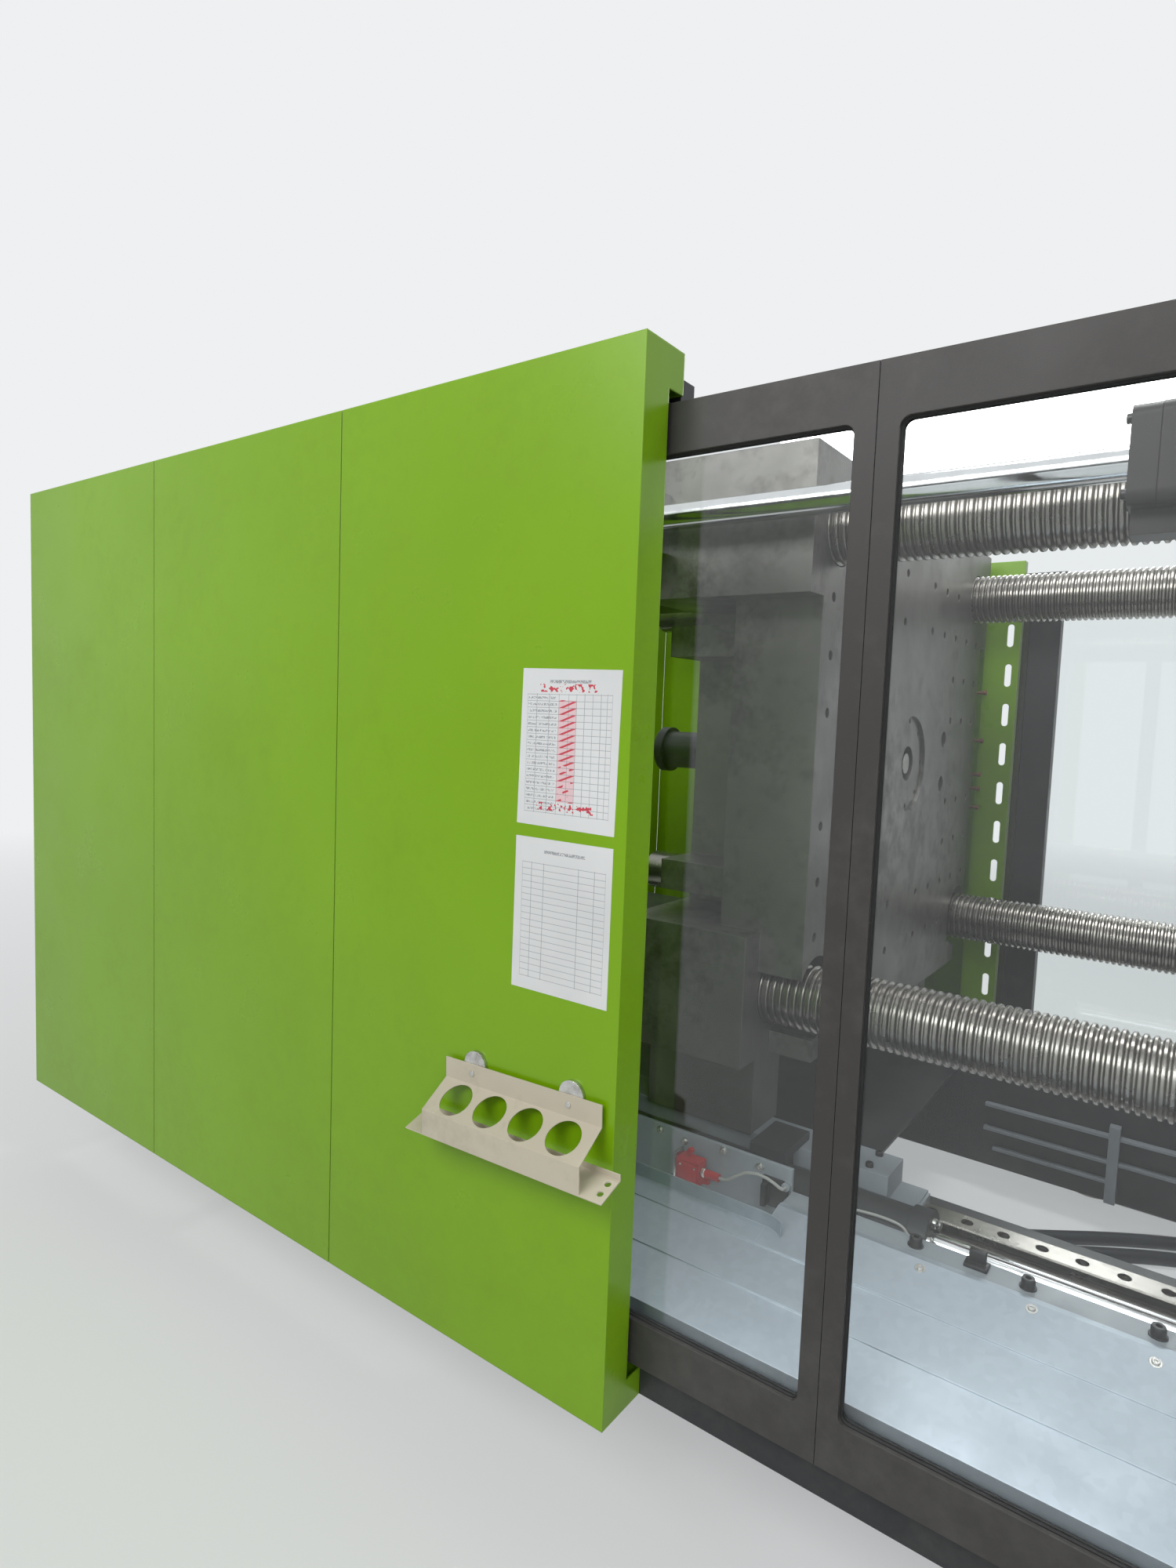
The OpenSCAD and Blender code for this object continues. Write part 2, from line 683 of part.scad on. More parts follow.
// Lower travel cylinders that ride with the moving platen
module lower_cylinders() {
    tube_left = -1150;
    color(anthracite) for (s = [-1, 1]) {
        y = centre_y + s * low_cyl_y;
        difference() {
            union() {
                rod_x(tube_left, low_flange_x, y, low_cyl_z, low_tube_r);
                rod_x(low_flange_x - 40, low_flange_x, y, low_cyl_z, low_flange_r);
                rod_x(tube_left, tube_left + 40, y, low_cyl_z, low_flange_r);
                for (x = [-560, -60]) {
                    block([x, min(y - s * 25, centre_y + s * rail_y), beam_top],
                        [x + 90, max(y - s * 25, centre_y + s * rail_y), beam_top + 20]);
                    block([x, y - 25, low_cyl_z + 40], [x + 90, y + 25, beam_top + 20]);
                }
            }
            rod_x(tube_left + 30, low_flange_x - 50, y, low_cyl_z, low_bore_r);
            rod_x(low_flange_x - 60, low_flange_x + 1, y, low_cyl_z, low_rod_r + rod_fit);
            for (i = [0:5]) rotate_about(y, low_cyl_z, i * 60 + 30)
                rod_x(low_flange_x - 12, low_flange_x + 1, y + 44, low_cyl_z, 7);
        }
    }
}

// Rods of the lower cylinders, held by the fixed platen
module lower_rods() {
    color([0.8, 0.81, 0.82]) for (s = [-1, 1]) {
        rod_x(-300, fixed_face + 318, centre_y + s * low_cyl_y, low_cyl_z, low_rod_r);
        rod_x(-360, -290, centre_y + s * low_cyl_y, low_cyl_z, low_bore_r - rod_fit);
    }
}

// Housing of the upper travel cylinder, bolted to the side of the fixed platen
module upper_cylinder() {
    cap = 44;
    z0 = up_cyl_z - up_house_h / 2;
    z1 = up_cyl_z + up_house_h / 2;
    y0 = up_cyl_y - up_house_w / 2;
    y1 = up_cyl_y + up_house_w / 2;
    color(dark) difference() {
        union() {
            run_x(up_house_x, cap - 1) round_rect([y0 + 1, z0 + 1], [y1 - 1, z1 - 1], 22);
            run_x(up_house_x + cap, up_house_end - up_house_x - cap) round_rect([y0, z0], [y1, z1], 22);
            run_x(up_house_x + cap - 2, 4) round_rect([y0 + 3, z0 + 3], [y1 - 3, z1 - 3], 20);
            block([up_house_x + 4, up_cyl_y - 20, z0 - 42], [up_house_end, up_cyl_y + 50, z0 + 2]);
            block([fixed_face + 20, y1 - 4, up_cyl_z - 60],
                [fixed_back - 20, front_bar_y - boss_half, up_cyl_z + 60]);
        }
        rod_x(up_house_x - 1, up_house_x + 80, up_cyl_y, up_cyl_z, up_rod_r + rod_fit);
        rod_x(up_house_x + 79, up_house_end - 40, up_cyl_y, up_cyl_z, up_rod_r + 14);
    }
}

// Rod of the upper cylinder with its bracket on the moving platen
module upper_rod() {
    lock_x = move_back + 20;
    up_piston = up_house_x + 80 + travel_back + 4;
    color([0.8, 0.81, 0.82]) difference() {
        union() {
            rod_x(lock_x - 40, up_piston + 60, up_cyl_y, up_cyl_z, up_rod_r);
            rod_x(up_piston, up_piston + 60, up_cyl_y, up_cyl_z, up_rod_r + 14 - rod_fit);
            block([lock_x - 20, up_cyl_y - 52, up_cyl_z - 70], [lock_x + 60, up_cyl_y + 52, up_cyl_z + 70]);
            block([lock_x - 20, up_cyl_y, up_cyl_z - 70],
                [lock_x + 60, front_bar_y - boss_half, up_cyl_z + 70]);
        }
        for (dz = [-50, 50]) rod_y(up_cyl_y - 53, up_cyl_y + 10, lock_x + 20, up_cyl_z + dz, 9);
    }
}

// Section of a folded cover: face, top and bottom channels, drawn in Y and Z
module cover_section() {
    y1 = channel_deep;
    polygon([[0, cover_low], [y1, cover_low], [y1, cover_low + channel_low],
        [y1 - sheet, cover_low + channel_low], [y1 - sheet, cover_low + sheet], [sheet, cover_low + sheet],
        [sheet, cover_top - sheet], [y1 - sheet, cover_top - sheet], [y1 - sheet, cover_top - channel_top],
        [y1, cover_top - channel_top], [y1, cover_top], [0, cover_top]]);
}

// Outline of a cover's closed end, drawn in Y and Z
module cover_end() {
    polygon([[0, cover_low], [channel_deep, cover_low], [channel_deep, cover_low + channel_low],
        [return_deep, cover_low + channel_low], [return_deep, cover_top - channel_top],
        [channel_deep, cover_top - channel_top], [channel_deep, cover_top], [0, cover_top]]);
}

// One cover from x0 to x1, with closed ends where asked
module cover(x0, x1, end_left, end_right) {
    run_x(x0, x1 - x0) cover_section();
    if (end_left) run_x(x0, sheet) cover_end();
    if (end_right) run_x(x1 - sheet, sheet) cover_end();
}

module front_cover_left() {
    color(green) cover(cover_left, seam_1 - seam_gap / 2, false, false);
}

module front_cover_middle() {
    color(green) cover(seam_1 + seam_gap / 2, seam_2 - seam_gap / 2, false, false);
}

module front_cover_right() {
    color(green) cover(seam_2 + seam_gap / 2, 0, false, true);
}

// Covers beside the fixed platen, on the front
module platen_cover() {
    color(green) cover(door_right + 6, inj_left, true, true);
}

// The same covers on the rear, with the slotted post beside the rear door
module rear_covers() {
    slot_pitch = 145;
    color(green) {
        translate([0, rear_face, 0]) mirror([0, 1, 0]) {
            cover(cover_left, seam_1 - seam_gap / 2, false, false);
            cover(seam_1 + seam_gap / 2, seam_2 - seam_gap / 2, false, false);
            cover(seam_2 + seam_gap / 2, 0, false, true);
            cover(door_right + 6, inj_left, true, true);
        }
        difference() {
            union() {
                block([0, rear_post_y - 3, bed_low + 200], [120, rear_post_y, cover_top]);
                for (x = [0, 117]) block([x, rear_post_y - 3, bed_low + 200],
                    [x + 3, rear_post_y + 37, cover_top]);
            }
            for (z = [bed_low + 320:slot_pitch:cover_top - 120])
                run_y(rear_post_y - 4, 5) round_rect([76, z], [98, z + 82], 10.9);
        }
    }
}

// Cover that closes the left end
module end_cover() {
    color(green) block([cover_left, channel_deep + wear, cover_low],
        [guard_left - wear, rear_face - channel_deep - wear, cover_top]);
}

// Frame of square tube behind the front covers, carried by arms from the bed, with the door's guides
module front_guard_frame() {
    top_z = door_top + 10;
    track_left = -1590;
    color(anthracite) {
        for (x = cross_xs) {
            block([x, post_y, post_low], [x + post, post_y + post, top_z + 10]);
            block([x, post_y + post - 1, post_low], [x + post, centre_y - bed_out, post_low + post]);
        }
        block([guard_left, frame_y + wear, top_z], [-4, post_y + 1, top_z + 40]);
        block([door_right + 6, frame_y + wear, top_z], [inj_left, post_y + 1, top_z + 40]);
        block([guard_left, frame_y + wear, cover_low], [inj_left, post_y + 1, cover_low + 50]);
        block([track_left, track_in, cover_low + 49], [door_right, track_in + track_wide, cover_low + 70]);
        difference() {
            block([track_left, door_y - 5, top_z - 33], [-12, door_y + door_deep + 5, top_z - 5]);
            block([track_left - 1, door_y - 2, top_z - 34], [-11, door_y + door_deep + 2, top_z - 8]);
        }
        for (x = [track_left, -1200, -800, -400, -72])
            block([x, door_y + door_deep + 4, top_z - 33], [x + 60, post_y, top_z + 1]);
        for (x = [-450, 100, 600, 1090])
            block([x, post_y - 6, cover_low + 49], [x + 40, post_y, apron_low - 26]);
    }
}

// The same frame on the rear
module rear_guard_frame() {
    top_z = door_top + 10;
    rear_frame_y = rear_face - channel_deep;
    rear_track = rear_face - track_in;
    color(anthracite) {
        for (x = cross_xs) {
            block([x, rear_post_y, post_low], [x + post, rear_post_y + post, top_z + 10]);
            block([x, centre_y + bed_out, post_low], [x + post, rear_post_y + 1, post_low + post]);
            block([x, rear_post_y + post - 1, top_z], [x + post, rear_frame_y - wear, top_z + 40]);
            block([x, rear_post_y + post - 1, cover_low], [x + post, rear_frame_y - wear, cover_low + 50]);
        }
        block([150, rear_post_y, cover_low], [250, rear_post_y + post, top_z + 10]);
        block([guard_left, rear_frame_y - 40, top_z], [260, rear_frame_y - wear, top_z + 40]);
        block([guard_left, rear_frame_y - 40, cover_low], [inj_left, rear_frame_y - wear, cover_low + 50]);
        block([0, rear_post_y + 37, top_z], [252, rear_frame_y - 39, top_z + 40]);
        block([0, rear_post_y + 37, cover_low], [252, rear_frame_y - 39, cover_low + 50]);
        block([-1100, rear_track - track_wide, cover_low + 49], [door_right, rear_track, cover_low + 70]);
    }
}

// Frame of one door with a rebate for its pane, outer face at y0
module door_frame(x0, w, y0) {
    difference() {
        block([x0, y0, door_low], [x0 + w, y0 + door_deep, door_top]);
        run_y(y0 - 1, door_deep + 2) round_rect([x0 + stile, door_low + cross_bar],
            [x0 + w - stile, door_top - cross_bar], window_r);
        run_y(y0 + lip, door_deep) round_rect([x0 + stile - 12, door_low + cross_bar - 12],
            [x0 + w - stile + 12, door_top - cross_bar + 12], window_r);
    }
}

// Pane of one door
module door_pane(x0, w, y0) {
    run_y(y0 + lip, pane) round_rect([x0 + stile - 11.5, door_low + cross_bar - 11.5],
        [x0 + w - stile + 11.5, door_top - cross_bar + 11.5], window_r);
}

module door_frame_left() {
    color(dark) door_frame(door_left, door_w - 0.5, door_y);
}

module door_frame_right() {
    color(dark) door_frame(door_seam + 0.5, door_w - 0.5, door_y);
}

module door_windows() {
    color([0.85, 0.9, 0.9, 0.3]) {
        door_pane(door_left, door_w - 0.5, door_y);
        door_pane(door_seam + 0.5, door_w - 0.5, door_y);
    }
}

// Pull handle on the right upright
module door_handle() {
    x = door_right - stile / 2;
    color(anthracite) {
        for (z = [1150, 1450]) rod_y(door_y - 42, door_y, x, z, 8);
        translate([x, door_y - 42, 1130]) cylinder(h = 340, r = 11, $fn = 32);
    }
}

// Shoes that run on the door's lower track
module door_shoes() {
    color(anthracite) for (x = [door_left + 60, door_seam - 40, door_right - 140]) difference() {
        block([x, door_y + door_deep, cover_low + 60],
            [x + 80, door_y + door_deep + shoe_deep, door_low + 40]);
        block([x - 1, track_in - wear, cover_low + 59],
            [x + 81, track_in + track_wide + wear, cover_low + 70 + wear]);
    }
}

module rear_door_frame() {
    color(dark) {
        translate([0, rear_face, 0]) mirror([0, 1, 0]) door_frame(rear_door_left, rear_door_w, door_y);
        for (x = [rear_door_left + 60, rear_door_left + rear_door_w - 140]) difference() {
            block([x, rear_door_y - door_deep - shoe_deep, cover_low + 60],
                [x + 80, rear_door_y - door_deep + 1, door_low + 40]);
            block([x - 1, rear_face - track_in - track_wide - wear, cover_low + 59],
                [x + 81, rear_face - track_in + wear, cover_low + 70 + wear]);
        }
    }
}

module rear_door_window() {
    color([0.85, 0.9, 0.9, 0.3]) translate([0, rear_face, 0]) mirror([0, 1, 0])
        door_pane(rear_door_left, rear_door_w, door_y);
}

// Folded apron between the bed and the door, with two stepped seams, an upright strip and, behind that, a
// recess that the limit switch stands in
module apron() {
    strip_y = apron_back - 60;
    strip_z = apron_low + apron_slope * (strip_y - apron_front) + apron_sheet / 2;
    color([0.72, 0.74, 0.76]) {
        translate([0, strip_y, strip_z]) linear_extrude(30) polygon([
            [apron_left, 0], [96, 0], [118, -3], [132, -8], [145, -16], [146, -14.5], [133, -6], [119, -1],
            [96, 2], [apron_left, 2]]);
        apron_run(apron_left, recess_right, strip_y, 2);
        apron_run(recess_right, door_right, apron_back, 14);
    }
}

// One length of the apron, with its hem level behind the last slope
module apron_run(x0, x1, back, hem) {
    folds = [back, 361, 260, apron_front];
    top = [for (y = folds) apron_low + apron_slope * (y - apron_front)];
    t = apron_sheet;
    lip_h = 25;
    run_x(x0, x1 - x0) polygon([
        [back + hem, top[0] + t], [folds[0], top[0] + t],
        [folds[1], top[1] + t + seam_step], [folds[1], top[1] + t],
        [folds[2], top[2] + t + seam_step], [folds[2], top[2] + t],
        [apron_front, top[3] + t], [apron_front, top[3] - lip_h],
        [apron_front + t, top[3] - lip_h], [apron_front + t, top[3]],
        [folds[0], top[0]], [back + hem, top[0]]]);
}

// Long folded beam that carries the back of the apron on the bed, and stands taller behind the recess
module apron_beam() {
    z = apron_low + apron_slope * (apron_back - apron_front);
    y1 = centre_y - bed_out - wear;
    web_front = web_back - web_t;
    foot_z = bed_low + 210;
    foot = [[web_front, foot_z], [y1, foot_z], [y1, foot_z + web_t], [web_back, foot_z + web_t]];
    color(grey_blue) {
        run_x(recess_right, fixed_face - 10 - recess_right) polygon([
            [apron_back, z], [apron_back, z - web_t], [web_front, z - web_t], each foot, [web_back, z]]);
        run_x(apron_left, recess_right - apron_left) polygon([
            [web_front, z + rail_rise], each foot, [web_back, z + rail_rise]]);
        rod_y(cable_end[1], web_front + 1, cable_end[0], cable_end[2], 9);
    }
}

// Limit switch that stands in the recess behind the apron
module interlock_switch() {
    back = web_back - web_t;
    x = switch_x;
    z = cable_start[2];
    y = cable_start[1];
    color([0.78, 0.13, 0.15]) {
        difference() {
            block([x - 27, y - 16, z - 32], [x + 27, y + 20, z + 22]);
            block([x - 19, y - 17, z - 24], [x + 19, y - 14, z + 14]);
        }
        block([x - 36, y - 6, z - 38], [x - 26, back, z + 16]);
        block([x - 36, y + 19, z - 38], [x + 34, back, z - 8]);
        rod_x(x + 26, cable_start[0], y, z, 9);
        rod_y(y + 4, y + 14, x - 8, z + 34, 7);
        block([x - 11, y + 6, z + 21], [x - 5, y + 12, z + 34]);
    }
}

// Rings around a bent tube, as points, for a route of points
function unit(v) = v / norm(v);
function tube_dir(p, i) = unit(p[min(i + 1, len(p) - 1)] - p[max(i - 1, 0)]);
function tube_side(d) = unit(cross(d, abs(d[2]) < 0.9 ? [0, 0, 1] : [1, 0, 0]));

// A tube of n sides swept along the points p
module tube(p, r, n) {
    rings = [for (i = [0:len(p) - 1])
        let (d = tube_dir(p, i))
        let (u = tube_side(d))
        let (v = cross(d, u))
        for (k = [0:n - 1]) p[i] + r * (cos(360 * k / n) * u + sin(360 * k / n) * v)];
    sides = [for (i = [0:len(p) - 2], k = [0:n - 1])
        [i * n + k, i * n + (k + 1) % n, (i + 1) * n + (k + 1) % n, (i + 1) * n + k]];
    polyhedron(points = rings, faces = concat(sides,
        [[for (k = [n - 1:-1:0]) k]], [[for (k = [0:n - 1]) (len(p) - 1) * n + k]]), convexity = 4);
}

// Cable from the limit switch to the beam behind it
module switch_cable() {
    color([0.6, 0.6, 0.58]) tube(cable_points, cable_r, 8);
}

// Folded holder for spray cans, hung a little askew, with one corner as its own origin
module can_holder() {
    t = holder_sheet;
    back = 40;
    drop = 44;
    out = 66;
    wall = 50;
    wing = 46;
    rise = 18;
    slant = norm([out, drop]);
    color([0.86, 0.81, 0.7]) on_cover() difference() {
        union() {
            run_x(0, holder_len) polygon([
                [0, 0], [0, back], [-t, back], [-t, 0], [-out, -drop], [-out, -drop - wall],
                [-10, -drop - wall + rise], [-10, -drop - wall + rise + t],
                [-out + t, -drop - wall + t + 0.6], [-out + t, -drop - 1]]);
            run_x(-wing, holder_len + 2 * wing) polygon([
                [-out, -drop - wall], [-10, -drop - wall + rise], [-10, -drop - wall + rise + 12],
                [-12, -drop - wall + rise + 12], [-12, -drop - wall + rise + t], [-out, -drop - wall + t]]);
        }
        for (i = [0:3]) translate([holder_len / 2 + (i - 1.5) * holder_step, -out / 2 - t / 2, -drop / 2])
            rotate([atan2(drop, out), 0, 0]) cylinder(h = 24, r = holder_hole / 2, center = true, $fn = 48);
        for (y = [-26, -48]) translate([holder_len + wing - 15, y, -drop - wall - 5])
            cylinder(h = 40, r = 6, $fn = 24);
    }
}

// Moves the holder's parts to their place on the right cover
module on_cover() {
    translate([-394, -8, cover_low + 538]) rotate([0, -tilt_holder, 0]) children();
}

// Round magnets between the holder and the cover, with their rivets
module holder_magnets() {
    color([0.72, 0.72, 0.7]) on_cover() for (x = [74, 306]) {
        rod_y(0.1, 7.8, x, 38, 27);
        rod_y(-holder_sheet - 1.8, -holder_sheet, x - 4, 22, 5.5);
    }
}

// Two letter sheets on the right cover
module notice_sheets() {
    color([0.93, 0.93, 0.91]) {
        translate([-236, -paper_thick, cover_low + 1333]) rotate([0, 0.98, 0])
            translate([0, 0, -paper_h]) cube([paper_w, paper_thick, paper_h]);
        translate([-241, -paper_thick, cover_low + 1031]) rotate([0, 0.2, 0])
            translate([0, 0, -paper_h]) cube([paper_w, paper_thick, paper_h]);
    }
}

// Tank and pump motor at the left end of the bed
module hydraulic_unit() {
    tank_left = bed_left + 110;
    tank_len = 560;
    tank_top = bed_top + 620;
    motor_x = tank_left + tank_len / 2;
    motor_r = 160;
    motor_z = tank_top + motor_r + 10;
    color(anthracite) {
        difference() {
            block([tank_left, centre_y - tank_len, bed_top],
                [tank_left + tank_len, centre_y + tank_len, tank_top]);
            for (s = [-1, 1], z = [bed_top + 120:90:tank_top - 120])
                rod_x(tank_left - 1, tank_left + 9, centre_y + s * 300, z, 30);
        }
        rod_y(centre_y - 420, centre_y + 120, motor_x, motor_z, motor_r);
        for (i = [0:11])
            rod_y(centre_y - 400 + i * 40, centre_y - 388 + i * 40, motor_x, motor_z, motor_r + 9);
        block([motor_x - 110, centre_y - 380, tank_top - 1], [motor_x + 110, centre_y + 80, tank_top + 40]);
        rod_y(centre_y + 119, centre_y + 330, motor_x, motor_z, motor_r - 65);
    }
}

// Bed under the injection unit, with the carriage ways on top
module injection_bed() {
    near = centre_y - inj_w / 2;
    far = centre_y + inj_w / 2;
    color(anthracite) {
        difference() {
            block([inj_left, near, bed_low], [inj_right, far, inj_top]);
            for (x = [inj_left + 120:960:inj_right - 900]) {
                block([x, near - 1, bed_low + 120], [x + 820, near + 6, inj_top - 120]);
                block([x, far - 6, bed_low + 120], [x + 820, far + 1, inj_top - 120]);
            }
        }
        for (s = [-1, 1]) block([inj_left + 600, centre_y + s * 330 - 40, inj_top - 1],
            [inj_right - 60, centre_y + s * 330 + 40, carriage_low - wear]);
        for (p = [hose_near_points, hose_far_points])
            rod_x(inj_left - fitting_len, inj_left + 1, p[len(p) - 1][1], p[len(p) - 1][2], fitting_r);
    }
}

// Feet on which the beds are levelled
module levelling_feet() {
    clamp_y = bed_out - 80;
    inj_y = inj_w / 2 - 90;
    spots = concat(
        [for (x = [-2050, -1250, -250, 500, 1120, 1560], s = [-1, 1]) [x, centre_y + s * clamp_y]],
        [for (x = [inj_left + 300, 3650, inj_right - 300], s = [-1, 1]) [x, centre_y + s * inj_y]]);
    color(steel) for (p = spots) translate([p[0], p[1], 0]) rotate_extrude($fn = 40) polygon([
        [0, 0], [75, 0], [75, 14], [62, 26], [30, 30], [30, bed_low], [0, bed_low]]);
}

// Carriage with the feed block that holds the barrel
module injection_carriage() {
    y0 = centre_y - 380;
    y1 = centre_y + 380;
    color(grey_blue) difference() {
        union() {
            block([feed_left - 300, y0, carriage_low], [cross_left + 750, y1, carriage_deck]);
            block([feed_left, centre_y - 230, carriage_deck - 1],
                [feed_left + feed_len, centre_y + 230, feed_top]);
            for (s = [-1, 1])
                block([feed_left + feed_len - 160, centre_y + s * inj_cyl_y - 95, carriage_deck - 1],
                    [feed_left + feed_len, centre_y + s * inj_cyl_y + 95, centre_z + 110]);
            for (s = [-1, 1]) block([feed_left + feed_len - 10, centre_y + s * 200 - 40, carriage_deck - 1],
                [cross_left + 700, centre_y + s * 200 + 40, carriage_deck + 40]);
        }
        rod_x(feed_left - 1, feed_left + feed_len + 1, centre_y, centre_z, barrel_r + rod_fit);
        translate([feed_x, centre_y, centre_z]) cylinder(h = 400, r = 60, $fn = 48);
        for (s = [-1, 1]) rod_x(feed_left + feed_len - 161, feed_left + feed_len + 1,
            centre_y + s * inj_cyl_y, centre_z, inj_rod_r + 6);
    }
}

// Barrel, with its feed opening
module barrel() {
    color(steel) difference() {
        rod_x(barrel_left, feed_left + feed_len, centre_y, centre_z, barrel_r);
        rod_x(barrel_left - 1, feed_left + feed_len + 1, centre_y, centre_z, screw_r + screw_gap);
        translate([feed_x, centre_y, centre_z]) cylinder(h = 200, r = 45, $fn = 48);
    }
}

// Heater bands around the barrel
module heater_bands() {
    color([0.7, 0.68, 0.64]) for (i = [0:band_count - 1]) {
        x = barrel_left + 40 + i * band_pitch;
        difference() {
            union() {
                rod_x(x, x + band_len, centre_y, centre_z, barrel_r + 14);
                block([x + 30, centre_y - 22, centre_z + barrel_r + 4], [x + band_len - 30, centre_y + 22,
                    centre_z + barrel_r + 44]);
            }
            rod_x(x - 1, x + band_len + 1, centre_y, centre_z, barrel_r + rod_fit);
            block([x - 1, centre_y - 3, centre_z],
                [x + band_len + 1, centre_y + 3, centre_z + barrel_r + 60]);
        }
    }
}

// Nozzle with its adapter
module nozzle() {
    tip = 1330 - barrel_left;
    color(steel) translate([barrel_left, centre_y, centre_z]) rotate([0, 90, 0])
        rotate_extrude($fn = 64) polygon([[3, tip], [14, tip], [24, tip + 12], [32, tip + 50], [32, -70],
            [60, -60], [105, -50], [105, 0], [3, 0]]);
}

// Sheet guard over the barrel
module barrel_guard() {
    half = 232;
    x0 = 1760;
    z0 = centre_z - 260;
    z1 = centre_z + 250;
    color(green) {
        difference() {
            block([x0, centre_y - half, z0], [feed_left, centre_y + half, z1]);
            block([x0 + sheet, centre_y - half + sheet, z0 - 1],
                [feed_left + 1, centre_y + half - sheet, z1 - sheet]);
            rod_x(x0 - 1, x0 + sheet + 1, centre_y, centre_z, barrel_r + 34);
            block([x0 - 1, centre_y - barrel_r - 34, z0 - 1],
                [x0 + sheet + 1, centre_y + barrel_r + 34, centre_z]);
            for (s = [-1, 1], x = [x0 + 160:220:feed_left - 260], z = [z0 + 90, z0 + 130, z0 + 170])
                run_y(centre_y + s * half - 5, 10) round_rect([x, z], [x + 150, z + 12], 5.9);
        }
    }
}

// Tubes of the two injection cylinders
module injection_cylinders() {
    x0 = feed_left + feed_len;
    color(anthracite) for (s = [-1, 1]) difference() {
        union() {
            rod_x(x0, x0 + 560, centre_y + s * inj_cyl_y, centre_z, inj_tube_r);
            rod_x(x0 + 520, x0 + 560, centre_y + s * inj_cyl_y, centre_z, inj_tube_r + 12);
            rod_x(x0, x0 + 30, centre_y + s * inj_cyl_y, centre_z, inj_tube_r + 12);
        }
        rod_x(x0 + 20, x0 + 561, centre_y + s * inj_cyl_y, centre_z, inj_rod_r + rod_fit);
    }
}

// Crosshead with the injection rods and the screw motor
module crosshead() {
    x0 = cross_left;
    color(grey_blue) difference() {
        union() {
            block([x0, centre_y - 400, centre_z - 130], [x0 + 110, centre_y + 400, centre_z + 130]);
            for (s = [-1, 1]) rod_x(x0 - 560, x0 + 1, centre_y + s * inj_cyl_y, centre_z, inj_rod_r);
            rod_x(x0 + 109, x0 + 420, centre_y, centre_z, 150);
            rod_x(x0 + 109, x0 + 160, centre_y, centre_z, 185);
            block([x0 + 10, centre_y - 260, carriage_deck + 40 + wear],
                [x0 + 100, centre_y - 140, centre_z - 129]);
            block([x0 + 10, centre_y + 140, carriage_deck + 40 + wear],
                [x0 + 100, centre_y + 260, centre_z - 129]);
        }
        rod_x(x0 - 1, x0 + 90, centre_y, centre_z, screw_r - 7 + rod_fit);
    }
}

// Plasticizing screw: a helical flight around a core, with a plain shank
module screw() {
    flight_left = barrel_left + 60;
    flight_len = 1980;
    turns = 16;
    color(steel) {
        rod_x(flight_left - 30, feed_left + 330, centre_y, centre_z, screw_r - 15);
        rod_x(feed_left + 300, cross_left + 88, centre_y, centre_z, screw_r - 7);
        rod_x(feed_left + 300, feed_left + 460, centre_y, centre_z, screw_r);
        translate([flight_left, centre_y, centre_z]) rotate([0, 90, 0])
            linear_extrude(flight_len, twist = 360 * turns, slices = turns * 8)
                translate([screw_r / 2 - 1, 0]) square([screw_r - 2, 16], center = true);
    }
}

// Sheet hopper on the feed block
module hopper() {
    half = hopper_w / 2;
    z0 = feed_top;
    z1 = z0 + 60;
    z2 = z0 + hopper_h - 260;
    z3 = z0 + hopper_h;
    color([0.74, 0.75, 0.76]) translate([feed_x, centre_y, 0]) {
        difference() {
            union() {
                translate([0, 0, z0]) cylinder(h = 16, r = 120, $fn = 48);
                translate([0, 0, z0]) cylinder(h = 64, r = 72, $fn = 48);
                hopper_skin(z1, z2, 90, half, 0);
                block([-half, -half, z2], [half, half, z3]);
                block([-half - 20, -half - 20, z3 - 20], [half + 20, half + 20, z3]);
                rod_x(-half + 15, half - 15, half + 44, z3 + 4 + wear, 4 - rod_fit);
                for (s = [-1, 1]) block([s * (half - 124) - 12, half + 19, z3 - 20],
                    [s * (half - 124) + 12, half + 52, z3 + 10]);
            }
            translate([0, 0, z0 - 1]) cylinder(h = 70, r = 60, $fn = 48);
            hopper_skin(z1 + 3, z2, 90, half, sheet);
            block([-half + sheet, -half + sheet, z2 - 1], [half - sheet, half - sheet, z3 + 1]);
        }
    }
}

// The tapered part of the hopper, drawn in by wall
module hopper_skin(z1, z2, r, half, wall) {
    hull() {
        translate([-r + wall, -r + wall, z1]) cube([2 * (r - wall), 2 * (r - wall), 0.01]);
        translate([-half + wall, -half + wall, z2 - 0.01])
            cube([2 * (half - wall), 2 * (half - wall), 0.02]);
    }
}

// Hinged lid of the hopper
module hopper_lid() {
    half = hopper_w / 2 + 20;
    z = feed_top + hopper_h + wear;
    color([0.74, 0.75, 0.76]) difference() {
        union() {
            block([feed_x - half, centre_y - half, z], [feed_x + half, centre_y + half + 24, z + 4]);
            block([feed_x - 70, centre_y - half - 2, z], [feed_x + 70, centre_y - half + 30, z + 16]);
            rod_x(feed_x - half + 40, feed_x - half + 128, centre_y + half + 24, z + 4, 9);
            rod_x(feed_x + half - 128, feed_x + half - 40, centre_y + half + 24, z + 4, 9);
        }
        rod_x(feed_x - half, feed_x + half, centre_y + half + 24, z + 4, 4);
        for (s = [-1, 1]) block([feed_x + s * (half - 144) - 13, centre_y + half - 2, z - 1],
            [feed_x + s * (half - 144) + 13, centre_y + half + 30, z + 5]);
    }
}

